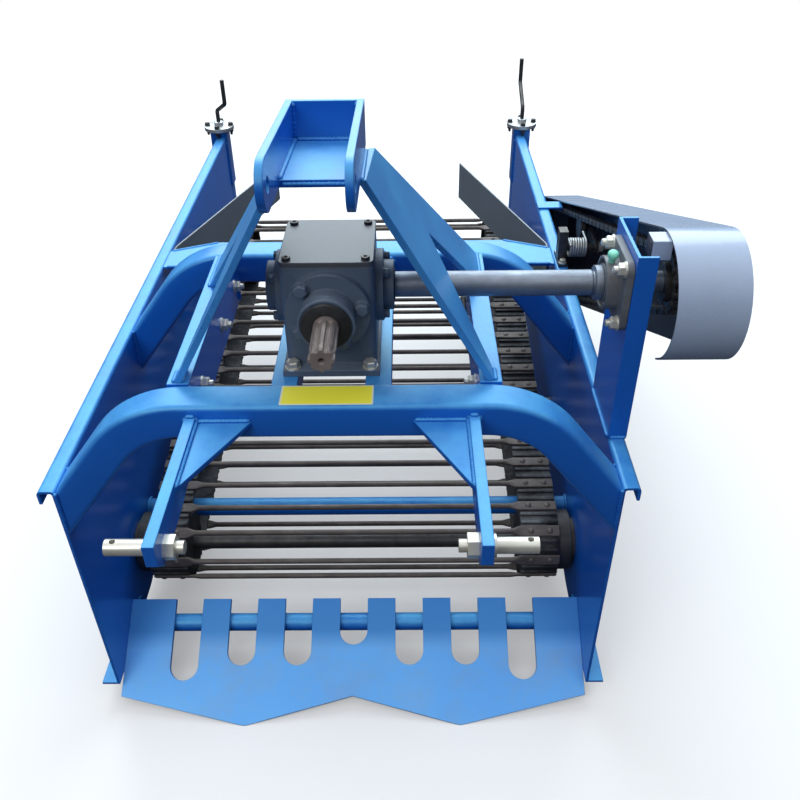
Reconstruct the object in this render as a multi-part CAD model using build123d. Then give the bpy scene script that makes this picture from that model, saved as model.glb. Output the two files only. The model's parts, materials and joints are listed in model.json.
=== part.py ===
from build123d import *
from math import asin, atan2, cos, degrees, hypot, pi, radians, sin, tan
import os

# A mounted rod web lifter for carrots. X is across, Y runs from the share to the back, Z is up.
# It is drawn with Y = 0 at the front edge of the side plates and Z = 0 at the share's points.
# At the end everything moves sideways so that the origin is under the middle of the machine.

# Clearances shared by every fit
seat_gap = 0.3
slide_gap = 0.5
run_gap = 0.05
overrun = 10

# Side plates, bent from sheet with a top flange and lip and a bottom flange
inside_width = 900
sheet = 5
plate_top = 555
plate_length = 1610
plate_front_foot = 50
plate_rear_foot = 290
plate_knee_y = 250
flange_out = 30
lip_drop = 27
foot_flange = 34
bend_radius = 6

# Arches of square tube that tie the side plates over the web
tube = 60
arch_top = 720
arch_corner_x = 303
arch_bend = 150
arch_leg_angle = 52
rear_arch_y = 485

# Angle members between the arches, one under each brace
member_x = 222
member_height = 100
member_flange = 34
member_wall = 8

# Rails that carry the gear case
rail_width = 40
rail_height = 40
rail_top = 711
rail_left_x = -78
rail_right_x = 67

# Top hitch, a box of two cheeks that leans back a little, on two slanted braces
hitch_half = 45
cheek = 10
hitch_front_y = -102
hitch_length = 310
hitch_height = 64
hitch_over_cover = 230
hitch_tilt = 4.7
top_pin_bore = 19.4
top_pin_back = 34
top_pin_down = 33
hitch_floor = 10
hitch_floor_back = 118
brace_sheet = 10
brace_top_y = 38
brace_top_length = 146
brace_crotch_y = 205
brace_crotch_share = 0.431
brace_front_foot = 36
brace_front_foot_y = 62
brace_rear_foot = 124

# Lower link brackets and their pins
bracket_outer_x = 218
bracket_sheet = 16
bracket_top = 703
bracket_reach = 262
bracket_height = 55
bracket_root = 40
bracket_chamfer = 20
gusset_side = 82
gusset_length = 148
gusset_sheet = 8
gusset_drop = 9
pin_dia = 22
pin_length = 61
pin_z = 667
pin_from_end = 35
pin_collar_dia = 32
pin_collar = 6
pin_stem_dia = 18
pin_stem_end = 11
pin_nut = 15
pin_nut_flats = 30
linch_hole = 8
linch_from_end = 11

# Gear case with its cover, input hub and side hubs
case_x = -6
case_width = 140
case_front_y = 112
case_depth = 146
case_foot = 11
case_foot_proud = 5
case_foot_ahead = 22
case_top = 888
case_cover = 8
case_edge = 10
gear_axis_z = 819
gear_axis_y = 187
front_disc_dia = 128
front_disc = 14
input_hub_dia = 84
input_hub = 34
side_disc_dia = 112
side_disc = 12
side_hub_dia = 78
side_hub = 16
spline_dia = 38
spline_root_dia = 32
spline_tooth = 6.5
spline_count = 8
spline_length = 80
input_shaft_dia = 38
input_reach = 92

# Cross shaft to the chain drive, its bearing and the post that carries it
cross_shaft_dia = 40
cross_shaft_step_dia = 35
cross_shaft_step_x = 400
collar_dia = 54
collar = 12
bearing_flange_side = 117
bearing_flange_round = 16
bearing_flange = 12
bearing_body_dia = 84
bearing_body = 34
bearing_recess_dia = 74
bearing_insert_dia = 60
bearing_recess = 9
post_y = 126
post_depth = 142
post_top = 892
post_sheet = 5
post_flange = 31
post_hole_dia = 60

# Chain drive from the cross shaft down to the rear web shaft
chain_pitch = 19.05
small_teeth = 15
large_teeth = 45
chain_x = 526
chain_width = 24
chain_height = 16
sprocket_sheet = 11
sprocket_hub = 34
sprocket_hub_dia = 62
tooth_depth = 9

# Half round chain guard of sheet, open towards the machine and below
guard_inner_x = 508
guard_outer_x = 617
guard_sheet = 3
guard_front_radius = 104
guard_rear_radius = 158
guard_front_drop = 22
guard_bracket_depth = 34
guard_bracket_height = 32
guard_bracket_lap = 4
guard_stay = 37
guard_stay_lap = 5
guard_stay_sheet = 5

# Spring tensioner of the chain, its pin across the flange and its idler under the upper run
tension_pivot_share = 0.521
tension_pivot_z = 588
tension_pin_dia = 16
tension_block = 20
tension_block_depth = 28
tension_block_up = 44
tension_base = 70
tension_base_sheet = 8
tension_arm = 8
tension_arm_width = 26
idler_back = 105
idler_dia = 60
coil_turns = 7
coil_wire = 5.6
coil_dia = 44

# Rod web, two rubber belts with flat ended rods, round the front rollers and the rear wheels
web_front_y = 260
web_front_z = 174
web_rear_from_end = 300
web_rear_z = 311
web_front_radius = 62
web_rear_radius = 78
belt_sheet = 8
belt_width = 76
belt_outer_x = 414
rod_count = 44
rod_dia = 11
rod_flat = 22
rod_flat_sheet = 6
rod_sides = 12
belt_rib = 8
belt_rib_height = 5
belt_ribs = 2
belt_wheel_rim = 7
belt_wheel_disc = 8
belt_wheel_hub_dia = 62
belt_wheel_hole_dia = 26
belt_wheel_holes = 6
roller_end_x = 440
axle_dia = 30
web_shaft_dia = 35
shaft_flange_dia = 90
shaft_flange = 9
support_roller_dia = 56
support_roller_width = 60
support_axle_dia = 20
support_roller_shares = (0.35, 0.68)

# Share with slots and the bar under it
share_angle = 30
share_tip_y = -60
share_sheet = 10
share_length = 242
share_tip_x = 207
share_wing = 55
share_notch = 54
slot_pitch = 111
slot_width = 55
slot_floors = (151, 112, 112, 84)
share_bar_dia = 35
share_bar_along = 200

# Cross tube, cross plate and the two deflectors
cross_tube_dia = 38
cross_tube_y = 352
cross_tube_z = 184
cross_plate_y = 757
cross_plate_side_depth = 79
cross_plate_depth = 124
cross_plate_corner_x = 340
cross_plate_sheet = 6
deflector_top = 545
deflector_height = 105
deflector_sheet = 4
deflector_front_x = 432
deflector_rear_x = 268
deflector_rear_from_end = 205
deflector_tab = 46

# Depth wheels with screw jacks at the back
leg_x = 470
leg_tube = 50
leg_tube_wall = 4
leg_tube_foot = 400
leg_tube_top = 576
leg_top_gap = 6
leg_travel = 120
wheel_dia = 250
wheel_width = 60
wheel_rim = 8
wheel_disc = 6
wheel_hub_dia = 60
wheel_hub = 66
wheel_hole_dia = 42
wheel_holes = 5
wheel_side_gap = 6
stub_dia = 30
stub_head_dia = 44
stub_head = 5
disc_dia = 89
disc_sheet = 10
crank_dia = 12
crank_rise = 45
crank_arm = 100
crank_arm_rise = 47
crank_handle = 70
crank_bend = 14
crank_left_turn = -63
crank_right_turn = 90

# Places and sizes that follow from the ones above
hitch_top = case_top + case_cover + hitch_over_cover
brace_crotch_z = arch_top + brace_crotch_share * (hitch_top - arch_top)
web_rear_y = plate_length - web_rear_from_end
deflector_rear_y = plate_length - deflector_rear_from_end
tension_pivot_y = gear_axis_y + tension_pivot_share * (web_rear_y - gear_axis_y)
inner_x = inside_width / 2
outer_x = inner_x + sheet
pin_y = pin_from_end - bracket_reach
case_back_y = case_front_y + case_depth
input_tip_y = case_front_y - front_disc - input_hub - input_reach
belt_inner_x = belt_outer_x - belt_width
rod_front_radius = web_front_radius + belt_sheet + rod_flat_sheet / 2
rod_rear_radius = web_rear_radius + belt_sheet + rod_flat_sheet / 2
small_chain_radius = chain_pitch / sin(pi / small_teeth) / 2
large_chain_radius = chain_pitch / sin(pi / large_teeth) / 2
chain_inner_x = chain_x - chain_width / 2
chain_outer_x = chain_x + chain_width / 2
leg_y = plate_length + leg_tube / 2
leg_bar = leg_tube - 2 * leg_tube_wall - 2 * seat_gap
leg_bar_top = leg_tube_top - leg_top_gap - leg_travel
wheel_x = leg_x + leg_tube / 2 + wheel_side_gap + wheel_hub / 2
wheel_z = wheel_dia / 2
cross_shaft_end = (gear_axis_y, gear_axis_z)
guard_front = (gear_axis_y, gear_axis_z - guard_front_drop)
web_front = (web_front_y, web_front_z)
web_rear = (web_rear_y, web_rear_z)


def polygon(*points):
    """A flat face from its corners."""
    return make_face(Polyline(*points, close=True))


def along_x(face, x_low, x_high):
    """A face drawn in Y and Z, pushed from one X to the other."""
    plane = Plane(origin=(x_low, 0, 0), x_dir=(0, 1, 0), z_dir=(1, 0, 0))
    return extrude(plane * face, amount=x_high - x_low)


def along_y(face, y_low, y_high):
    """A face drawn in X and Z, pushed from one Y to the other."""
    plane = Plane(origin=(0, y_low, 0), x_dir=(1, 0, 0), z_dir=(0, -1, 0))
    return extrude(plane * face, amount=y_low - y_high)


def along_z(face, z_low, z_high):
    """A face drawn in X and Y, pushed from one Z to the other."""
    return extrude(Plane.XY.offset(z_low) * face, amount=z_high - z_low)


def block(x_low, x_high, y_low, y_high, z_low, z_high):
    """A plain block between two corners."""
    middle = ((x_low + x_high) / 2, (y_low + y_high) / 2, (z_low + z_high) / 2)
    return Pos(*middle) * Box(x_high - x_low, y_high - y_low, z_high - z_low)


def rod_x(y, z, dia, x_low, x_high):
    """A round bar that lies across the machine."""
    return along_x(Pos(y, z) * Circle(dia / 2), x_low, x_high)


def other_side(part):
    """The same piece on the left, mirrored over the middle plane."""
    return mirror(part, Plane.YZ)


def bent_strip(points, radius, width):
    """The face of a strip of even width that follows a bent line."""
    return trace(FilletPolyline(*points, radius=radius), line_width=width)


def pulley_points(front, front_radius, rear, rear_radius):
    """Where the two outer tangents touch two circles, upper pair first."""
    run = (rear[0] - front[0], rear[1] - front[1])
    slope = atan2(run[1], run[0])
    spread = asin((rear_radius - front_radius) / hypot(*run))
    up = (-sin(slope + spread), cos(slope + spread))
    down = (sin(slope - spread), -cos(slope - spread))
    touch = []
    for way in (up, down):
        touch.append((front[0] + front_radius * way[0], front[1] + front_radius * way[1]))
        touch.append((rear[0] + rear_radius * way[0], rear[1] + rear_radius * way[1]))
    return touch


def pulley_face(front, front_radius, rear, rear_radius):
    """The full outline of a band round two wheels."""
    up_front, up_rear, down_front, down_rear = pulley_points(front, front_radius, rear, rear_radius)
    run = (rear[0] - front[0], rear[1] - front[1])
    reach = hypot(*run)
    ahead = (front[0] - front_radius * run[0] / reach, front[1] - front_radius * run[1] / reach)
    behind = (rear[0] + rear_radius * run[0] / reach, rear[1] + rear_radius * run[1] / reach)
    outline = Line(up_front, up_rear) + ThreePointArc(up_rear, behind, down_rear)
    outline += Line(down_rear, down_front) + ThreePointArc(down_front, ahead, up_front)
    return make_face(outline)


def side_plate():
    """The right side plate: web, top flange with its lip, and the foot flange."""
    half = sheet / 2
    section = bent_strip(
        [
            (inner_x + half, 0),
            (inner_x + half, plate_top - half),
            (inner_x + flange_out - half, plate_top - half),
            (inner_x + flange_out - half, plate_top - lip_drop),
        ],
        bend_radius,
        sheet,
    )
    plate = along_y(section, 0, plate_length)
    below = polygon(
        (-overrun, -overrun),
        (-overrun, plate_front_foot + half),
        (plate_knee_y, plate_front_foot + half),
        (plate_length + overrun, plate_rear_foot + half),
        (plate_length + overrun, -overrun),
    )
    plate -= along_x(below, inner_x - overrun, outer_x + overrun)
    foot = bent_strip(
        [
            (0, plate_front_foot + half),
            (plate_knee_y, plate_front_foot + half),
            (plate_length, plate_rear_foot + half),
        ],
        plate_knee_y / 2,
        sheet,
    )
    plate += along_x(foot, inner_x, inner_x + foot_flange)
    plate -= rod_x(web_rear_y, web_rear_z, web_shaft_dia + 2 * slide_gap, inner_x - overrun, outer_x + overrun)
    return plate


def arch(y_front):
    """A square tube bent over the web, its legs ending on the side plates."""
    middle = arch_top - tube / 2
    drop = (inner_x + tube - arch_corner_x) * tan(radians(arch_leg_angle))
    line = [
        (-inner_x - tube, middle - drop),
        (-arch_corner_x, middle),
        (arch_corner_x, middle),
        (inner_x + tube, middle - drop),
    ]
    body = along_y(bent_strip(line, arch_bend, tube), y_front, y_front + tube)
    return body & block(-inner_x, inner_x, y_front, y_front + tube, 0, arch_top + overrun)


def member():
    """The right angle member between the arches."""
    upright = block(member_x, member_x + member_wall, tube, rear_arch_y, arch_top - member_height, arch_top)
    flange = block(member_x, member_x + member_flange, tube, rear_arch_y, arch_top - member_wall, arch_top)
    return upright + flange


def brace_line_x(z):
    """How far out the middle of a brace is at a height."""
    foot_x = member_x + member_flange / 2
    head_x = hitch_half + cheek / 2 + brace_sheet / 2
    head_z = hitch_floor_z(brace_top_y)
    return head_x + (head_z - z) * (foot_x - head_x) / (head_z - arch_top)


def hitch_floor_z(y):
    """The height of the cheeks' lower edge at a place along the machine."""
    tilt = radians(hitch_tilt)
    start = hitch_top - hitch_height * cos(tilt)
    return start - (y - hitch_front_y - hitch_height * sin(tilt)) * tan(tilt)


def brace():
    """The right brace: a slanted plate with a foot on each end of the member."""
    rear_foot_end = rear_arch_y
    head_front = (brace_top_y, hitch_floor_z(brace_top_y))
    head_rear_y = brace_top_y + brace_top_length
    head_rear = (head_rear_y, hitch_floor_z(head_rear_y))
    outline = [
        (brace_front_foot_y, arch_top),
        head_front,
        head_rear,
        (rear_foot_end, arch_top),
        (rear_foot_end - brace_rear_foot, arch_top),
        (brace_crotch_y, brace_crotch_z),
        (brace_front_foot_y + brace_front_foot, arch_top),
    ]
    top = head_front[1]
    lean = atan2(brace_line_x(arch_top) - brace_line_x(top), top - arch_top)
    plane = Plane(
        origin=(brace_line_x(arch_top), 0, arch_top),
        x_dir=(0, 1, 0),
        z_dir=(cos(lean), 0, sin(lean)),
    )
    flat = [(y, (z - arch_top) / cos(lean)) for y, z in outline]
    plate = extrude(plane * polygon(*flat), amount=brace_sheet / 2, both=True)
    plate -= block(0, inner_x, -overrun, plate_length, 0, arch_top)
    tall = hitch_top - arch_top
    over = Pos(0, hitch_front_y, hitch_top) * Rot(-hitch_tilt, 0, 0) * block(
        -inner_x, inner_x, 0, hitch_length + tall, -hitch_height, tall
    )
    return plate - over


def hitch_box():
    """Two cheeks with round front ends, a floor and a back plate."""
    nose = hitch_height / 2
    side = polygon((nose, -hitch_height), (hitch_length, -hitch_height), (hitch_length, 0), (nose, 0))
    side += Pos(nose, -nose) * Circle(nose)
    side -= Pos(top_pin_back, -top_pin_down) * Circle(top_pin_bore / 2)
    box = along_x(side, hitch_half, hitch_half + cheek)
    box += along_x(side, -hitch_half - cheek, -hitch_half)
    box += block(-hitch_half, hitch_half, hitch_floor_back, hitch_length, -hitch_height, hitch_floor - hitch_height)
    box += block(-hitch_half, hitch_half, hitch_length - cheek, hitch_length, -hitch_height, 0)
    return Pos(0, hitch_front_y, hitch_top) * Rot(-hitch_tilt, 0, 0) * box


def lower_bracket():
    """The right lower link bracket with its flat gusset against the arch."""
    foot = bracket_top - bracket_height
    outline = polygon(
        (0, bracket_top),
        (-bracket_reach, bracket_top),
        (-bracket_reach, foot + bracket_chamfer),
        (-bracket_reach + bracket_chamfer, foot),
        (-bracket_reach / 2, foot),
        (0, bracket_top - bracket_root),
    )
    inner = bracket_outer_x - bracket_sheet
    plate = along_x(outline, inner, bracket_outer_x)
    gusset = polygon((inner, 0), (inner - gusset_side, 0), (inner, -gusset_length))
    level = bracket_top - gusset_drop
    plate += along_z(gusset, level - gusset_sheet, level)
    hole = pin_stem_dia + 2 * run_gap
    return plate - rod_x(pin_y, pin_z, hole, inner - overrun, bracket_outer_x + overrun)


def lower_pin():
    """The right lower link pin: stub, collar, threaded stem with its nut."""
    inner = bracket_outer_x - bracket_sheet
    end = bracket_outer_x + pin_length
    body = rod_x(pin_y, pin_z, pin_dia, bracket_outer_x, end)
    body += rod_x(pin_y, pin_z, pin_collar_dia, bracket_outer_x, bracket_outer_x + pin_collar)
    body += rod_x(pin_y, pin_z, pin_stem_dia, inner - pin_nut - pin_stem_end, bracket_outer_x)
    nut = Pos(pin_y, pin_z) * RegularPolygon(pin_nut_flats / 2, 6, major_radius=False)
    body += along_x(nut, inner - pin_nut, inner)
    body -= Pos(end - linch_from_end, pin_y, pin_z) * Cylinder(linch_hole / 2, pin_dia + overrun)
    return body


def gear_case():
    """The cast gear case: foot, body and the round seats of its three shafts."""
    half = case_width / 2
    foot_top = rail_top + case_foot
    body = block(case_x - half, case_x + half, case_front_y, case_back_y, foot_top, case_top)
    body = fillet(body.edges().filter_by(Axis.Z), case_edge)
    foot = block(
        case_x - half - case_foot_proud,
        case_x + half + case_foot_proud,
        case_front_y - case_foot_ahead,
        case_back_y + case_foot_ahead,
        rail_top,
        foot_top,
    )
    body += foot
    front = Pos(case_x, gear_axis_z)
    face_y = case_front_y - front_disc
    body += along_y(front * Circle(front_disc_dia / 2), face_y, case_front_y)
    body += along_y(front * Circle(input_hub_dia / 2), face_y - input_hub, case_front_y)
    for side in (-1, 1):
        root = case_x + side * (half - case_edge)
        for dia, thick in ((side_disc_dia, side_disc), (side_hub_dia, side_disc + side_hub)):
            reach = case_x + side * (half + thick)
            low, high = sorted((root, reach))
            body += rod_x(gear_axis_y, gear_axis_z, dia, low, high)
    bore = input_shaft_dia + 2 * slide_gap
    body -= along_y(front * Circle(bore / 2), face_y - input_hub - overrun, gear_axis_y + run_gap)
    return body


def gear_cover():
    """The flat lid of the gear case."""
    half = case_width / 2
    lid = block(
        case_x - half,
        case_x + half,
        case_front_y,
        case_back_y,
        case_top,
        case_top + case_cover,
    )
    return fillet(lid.edges().filter_by(Axis.Z), case_edge)


def input_shaft():
    """The splined stub that takes the drive, running on into the case."""
    spline = Circle(spline_root_dia / 2)
    for index in range(spline_count):
        tooth = Pos((spline_dia + spline_root_dia) / 8, 0) * Rectangle(
            (spline_dia + spline_root_dia) / 4, spline_tooth
        )
        spline += Rot(0, 0, 360 * index / spline_count) * tooth
    spline &= Circle(spline_dia / 2)
    place = Pos(case_x, gear_axis_z)
    shaft = along_y(place * spline, input_tip_y, input_tip_y + spline_length)
    shaft += along_y(place * Circle(input_shaft_dia / 2), input_tip_y + spline_length, gear_axis_y)
    return shaft


def cross_shaft():
    """The shaft from the gear case to the chain drive, with its collar."""
    start = case_x + case_width / 2 + side_disc + side_hub
    end = chain_x + sprocket_hub / 2
    shaft = rod_x(gear_axis_y, gear_axis_z, cross_shaft_dia, start, cross_shaft_step_x)
    shaft += rod_x(gear_axis_y, gear_axis_z, cross_shaft_step_dia, cross_shaft_step_x, end)
    collar_end = inner_x - bearing_body
    shaft += rod_x(gear_axis_y, gear_axis_z, collar_dia, collar_end - collar, collar_end)
    return shaft


def bearing():
    """The bearing with its square flange on the inner face of the post."""
    plate = RectangleRounded(bearing_flange_side, bearing_flange_side, bearing_flange_round)
    body = along_x(Pos(gear_axis_y, gear_axis_z) * plate, inner_x - bearing_flange, inner_x)
    front = inner_x - bearing_body
    body += rod_x(gear_axis_y, gear_axis_z, bearing_body_dia, front, inner_x)
    body -= rod_x(gear_axis_y, gear_axis_z, bearing_recess_dia, front, front + bearing_recess)
    body += rod_x(gear_axis_y, gear_axis_z, bearing_insert_dia, front, inner_x)
    hole = cross_shaft_step_dia + 2 * run_gap
    return body - rod_x(gear_axis_y, gear_axis_z, hole, front - overrun, inner_x + overrun)


def post():
    """The channel post on the right flange, its web inwards."""
    back = post_y + post_depth
    web = block(inner_x, inner_x + post_sheet, post_y, back, plate_top, post_top)
    web -= rod_x(gear_axis_y, gear_axis_z, post_hole_dia, inner_x - overrun, outer_x + overrun)
    for y in (post_y, back - post_sheet):
        web += block(inner_x, inner_x + post_flange, y, y + post_sheet, plate_top, post_top)
    web += block(inner_x, inner_x + post_flange, post_y, back, post_top, post_top + post_sheet)
    return web


def sprocket(y, z, teeth, bore):
    """A chain wheel with plain pointed teeth and a hub."""
    radius = chain_pitch / sin(pi / teeth) / 2
    disc = Circle(radius - tooth_depth / 2)
    step = 2 * pi * radius / teeth
    point = radius + tooth_depth / 2
    for index in range(teeth):
        tooth = polygon(
            (radius - tooth_depth, -step / 3),
            (point, -step / 8),
            (point, step / 8),
            (radius - tooth_depth, step / 3),
        )
        disc += Rot(0, 0, 360 * index / teeth) * tooth
    wheel = along_x(Pos(y, z) * disc, chain_x - sprocket_sheet / 2, chain_x + sprocket_sheet / 2)
    wheel += rod_x(y, z, sprocket_hub_dia, chain_x - sprocket_hub / 2, chain_x + sprocket_hub / 2)
    return wheel - rod_x(y, z, bore + 2 * run_gap, guard_inner_x - inner_x, guard_outer_x)


def chain_outline(offset):
    """The outline round both chain wheels at a distance outside the chain's pins."""
    return pulley_face(
        cross_shaft_end, small_chain_radius + offset, web_rear, large_chain_radius + offset
    )


def chain():
    """The roller chain as one closed band round both sprockets."""
    side = (chain_width - sprocket_sheet) / 2 - seat_gap
    link = chain_outline(chain_height / 2) - chain_outline(-chain_height / 2)
    band = along_x(link, chain_inner_x, chain_inner_x + side)
    band += along_x(link, chain_outer_x - side, chain_outer_x)
    rim = chain_outline(chain_height / 2) - chain_outline(tooth_depth / 2 + slide_gap)
    return band + along_x(rim, chain_inner_x, chain_outer_x)


def guard():
    """The chain guard: an outer plate and a rim along its top, front and back."""
    full = pulley_face(guard_front, guard_front_radius, web_rear, guard_rear_radius)
    hollow = pulley_face(
        guard_front, guard_front_radius - guard_sheet, web_rear, guard_rear_radius - guard_sheet
    )
    shell = along_x(full, guard_outer_x - guard_sheet, guard_outer_x)
    shell += along_x(full - hollow, guard_inner_x, guard_outer_x)
    under_front, under_rear = pulley_points(guard_front, guard_front_radius, web_rear, guard_rear_radius)[2:]
    lift = guard_sheet + overrun
    gap = polygon(
        (under_front[0], under_front[1] - overrun),
        (under_front[0], under_front[1] + lift),
        (under_rear[0], under_rear[1] + lift),
        (under_rear[0], under_rear[1] - overrun),
    )
    return shell - along_x(gap, guard_inner_x - overrun, guard_outer_x - guard_sheet)


def guard_block():
    """The square block that holds the guard's front end to the post."""
    radius = guard_front_radius - guard_sheet
    half = guard_bracket_depth / 2
    top = guard_front[1] + level_run(radius, half) - seat_gap
    return block(
        inner_x + post_flange,
        guard_inner_x + guard_bracket_lap,
        gear_axis_y - half,
        gear_axis_y + half,
        top - guard_bracket_height,
        top,
    )


def guard_strap():
    """The strap from the right flange out to the underside of the guard's rim."""
    rim_front, rim_rear = pulley_points(
        guard_front, guard_front_radius - guard_sheet, web_rear, guard_rear_radius - guard_sheet
    )[:2]
    fall = (rim_rear[1] - rim_front[1]) / (rim_rear[0] - rim_front[0])
    top = plate_top + guard_stay_sheet
    back = rim_front[0] + (top + seat_gap - rim_front[1]) / fall
    return block(inner_x, guard_inner_x + guard_stay_lap, back - guard_stay, back, plate_top, top)


def web_loop_length():
    """How long the rods' line is round the whole web."""
    reach = hypot(web_rear_y - web_front_y, web_rear_z - web_front_z)
    spread = asin((rod_rear_radius - rod_front_radius) / reach)
    straight = level_run(reach, rod_rear_radius - rod_front_radius)
    return 2 * straight + rod_front_radius * (pi - 2 * spread) + rod_rear_radius * (pi + 2 * spread)


def level_run(reach, rise):
    """The third side of a right angle, from its longest side and one more."""
    return (reach * reach - rise * rise) ** 0.5


def web_place(distance):
    """The place and lean of a rod at a distance round the web, from the front top."""
    front, rear = web_front, web_rear
    up_front, up_rear, down_front, down_rear = pulley_points(front, rod_front_radius, rear, rod_rear_radius)
    reach = hypot(rear[0] - front[0], rear[1] - front[1])
    straight = level_run(reach, rod_rear_radius - rod_front_radius)
    slope = atan2(rear[1] - front[1], rear[0] - front[0])
    spread = asin((rod_rear_radius - rod_front_radius) / reach)
    rear_arc = rod_rear_radius * (pi + 2 * spread)
    if distance < straight:
        part = distance / straight
        lean = slope + spread
        place = [up_front[i] + part * (up_rear[i] - up_front[i]) for i in (0, 1)]
    elif distance < straight + rear_arc:
        lean = slope + spread - (distance - straight) / rod_rear_radius
        place = [rear[0] - rod_rear_radius * sin(lean), rear[1] + rod_rear_radius * cos(lean)]
    elif distance < 2 * straight + rear_arc:
        part = (distance - straight - rear_arc) / straight
        lean = slope - spread - pi
        place = [down_rear[i] + part * (down_front[i] - down_rear[i]) for i in (0, 1)]
    else:
        lean = slope - spread - pi - (distance - 2 * straight - rear_arc) / rod_front_radius
        place = [front[0] - rod_front_radius * sin(lean), front[1] + rod_front_radius * cos(lean)]
    return place[0], place[1], lean


def web_belts():
    """Two rubber belts, each a closed loop with cross ribs between the rods."""
    outer = pulley_face(web_front, web_front_radius + belt_sheet, web_rear, web_rear_radius + belt_sheet)
    inner = pulley_face(web_front, web_front_radius, web_rear, web_rear_radius)
    step = web_loop_length() / rod_count
    rib = Rectangle(belt_rib, belt_rib_height + seat_gap)
    rib = Pos(0, (belt_rib_height - seat_gap - rod_flat_sheet) / 2) * rib
    ribs = []
    for index in range(rod_count):
        for place in range(belt_ribs):
            share = (place + 1) / (belt_ribs + 1)
            y, z, lean = web_place((index + (share + 0.5) % 1) * step)
            ribs.append(Pos(y, z) * Rot(0, 0, degrees(lean)) * rib)
    belt = along_x(outer + ribs - inner, belt_inner_x, belt_outer_x)
    return [belt, other_side(belt)]


def web_rods():
    """The rods of the web, round in the middle and flat on the belts."""
    step = web_loop_length() / rod_count
    rods = []
    for index in range(rod_count):
        y, z, lean = web_place((index + 0.5) * step)
        bar = along_x(RegularPolygon(rod_dia / 2, rod_sides), -belt_inner_x, belt_inner_x)
        for low in (-belt_outer_x, belt_inner_x):
            bar += block(
                low,
                low + belt_width,
                -rod_flat / 2,
                rod_flat / 2,
                -rod_flat_sheet / 2 + seat_gap,
                rod_flat_sheet / 2,
            )
        rods.append(Pos(0, y, z) * Rot(degrees(lean), 0, 0) * bar)
    return rods


def front_rollers():
    """The axle at the front of the web with a short roller in each belt."""
    part = rod_x(web_front_y, web_front_z, axle_dia, -inner_x, inner_x)
    for low, high in ((belt_inner_x, roller_end_x), (-roller_end_x, -belt_inner_x)):
        part += rod_x(web_front_y, web_front_z, 2 * (web_front_radius - seat_gap), low, high)
    return part


def support_rollers():
    """The rollers under the web's upper run, two on each side plate."""
    start, end = pulley_points(web_front, web_front_radius, web_rear, web_rear_radius)[:2]
    rise = atan2(end[1] - start[1], end[0] - start[0])
    down = support_roller_dia / 2 + seat_gap
    middle = (belt_inner_x + belt_outer_x) / 2
    half = support_roller_width / 2
    rollers = []
    for share in support_roller_shares:
        y = start[0] + share * (end[0] - start[0]) + down * sin(rise)
        z = start[1] + share * (end[1] - start[1]) - down * cos(rise)
        roller = rod_x(y, z, support_roller_dia, middle - half, middle + half)
        roller += rod_x(y, z, support_axle_dia, middle, inner_x)
        rollers += [roller, other_side(roller)]
    return rollers


def web_shaft():
    """The driven shaft at the back of the web with its two belt wheels."""
    end = chain_x + sprocket_hub / 2
    wheel_radius = web_rear_radius - seat_gap
    hole_ring = (wheel_radius - belt_wheel_rim + belt_wheel_hub_dia / 2) / 2
    part = rod_x(web_rear_y, web_rear_z, web_shaft_dia, -outer_x - shaft_flange, end)
    for low, high in ((belt_inner_x, belt_outer_x), (-belt_outer_x, -belt_inner_x)):
        middle = (low + high) / 2
        rim = rod_x(web_rear_y, web_rear_z, 2 * wheel_radius, low, high)
        rim -= rod_x(web_rear_y, web_rear_z, 2 * (wheel_radius - belt_wheel_rim), low, high)
        disc = Circle(wheel_radius - belt_wheel_rim / 2)
        hole = Pos(hole_ring, 0) * Circle(belt_wheel_hole_dia / 2)
        for index in range(belt_wheel_holes):
            disc -= Rot(0, 0, 360 * index / belt_wheel_holes) * hole
        half = belt_wheel_disc / 2
        part += rim + along_x(Pos(web_rear_y, web_rear_z) * disc, middle - half, middle + half)
        part += rod_x(web_rear_y, web_rear_z, belt_wheel_hub_dia, low, high)
    return part


def shaft_bearings():
    """The round flanges that carry both ends of the web's shaft and axle."""
    rings = []
    for side in (-1, 1):
        low, high = sorted((side * inner_x, side * (inner_x - shaft_flange)))
        for y, z, bore in (
            (web_front_y, web_front_z, axle_dia),
            (web_rear_y, web_rear_z, web_shaft_dia),
        ):
            ring = rod_x(y, z, shaft_flange_dia, low, high)
            rings.append(ring - rod_x(y, z, bore + 2 * run_gap, low - overrun, high + overrun))
    return rings


def share():
    """The share: a double pointed slanted plate with slots open to the back."""
    half = inner_x
    outline = polygon(
        (-half, share_wing),
        (-share_tip_x, 0),
        (0, share_notch),
        (share_tip_x, 0),
        (half, share_wing),
        (half, share_length),
        (-half, share_length),
    )
    radius = slot_width / 2
    last = len(slot_floors) - 1
    for index in range(-last, last + 1):
        floor = slot_floors[abs(index)]
        x = index * slot_pitch
        outline -= Pos(x, floor + radius) * Circle(radius)
        tall = share_length - floor
        outline -= Pos(x, floor + radius + tall / 2) * Rectangle(slot_width, tall)
    lean = radians(share_angle)
    plane = Plane(
        origin=(0, share_tip_y, 0),
        x_dir=(1, 0, 0),
        z_dir=(0, -sin(lean), cos(lean)),
    )
    plate = extrude(plane * outline, amount=-share_sheet)
    return plate & block(-half, half, -plate_length, plate_length, 0, plate_top)


def share_bar():
    """The round bar under the share's fingers."""
    lean = radians(share_angle)
    down = share_sheet + share_bar_dia / 2
    y = share_tip_y + share_bar_along * cos(lean) + down * sin(lean)
    z = share_bar_along * sin(lean) - down * cos(lean)
    return rod_x(y, z, share_bar_dia, -inner_x, inner_x)


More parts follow.
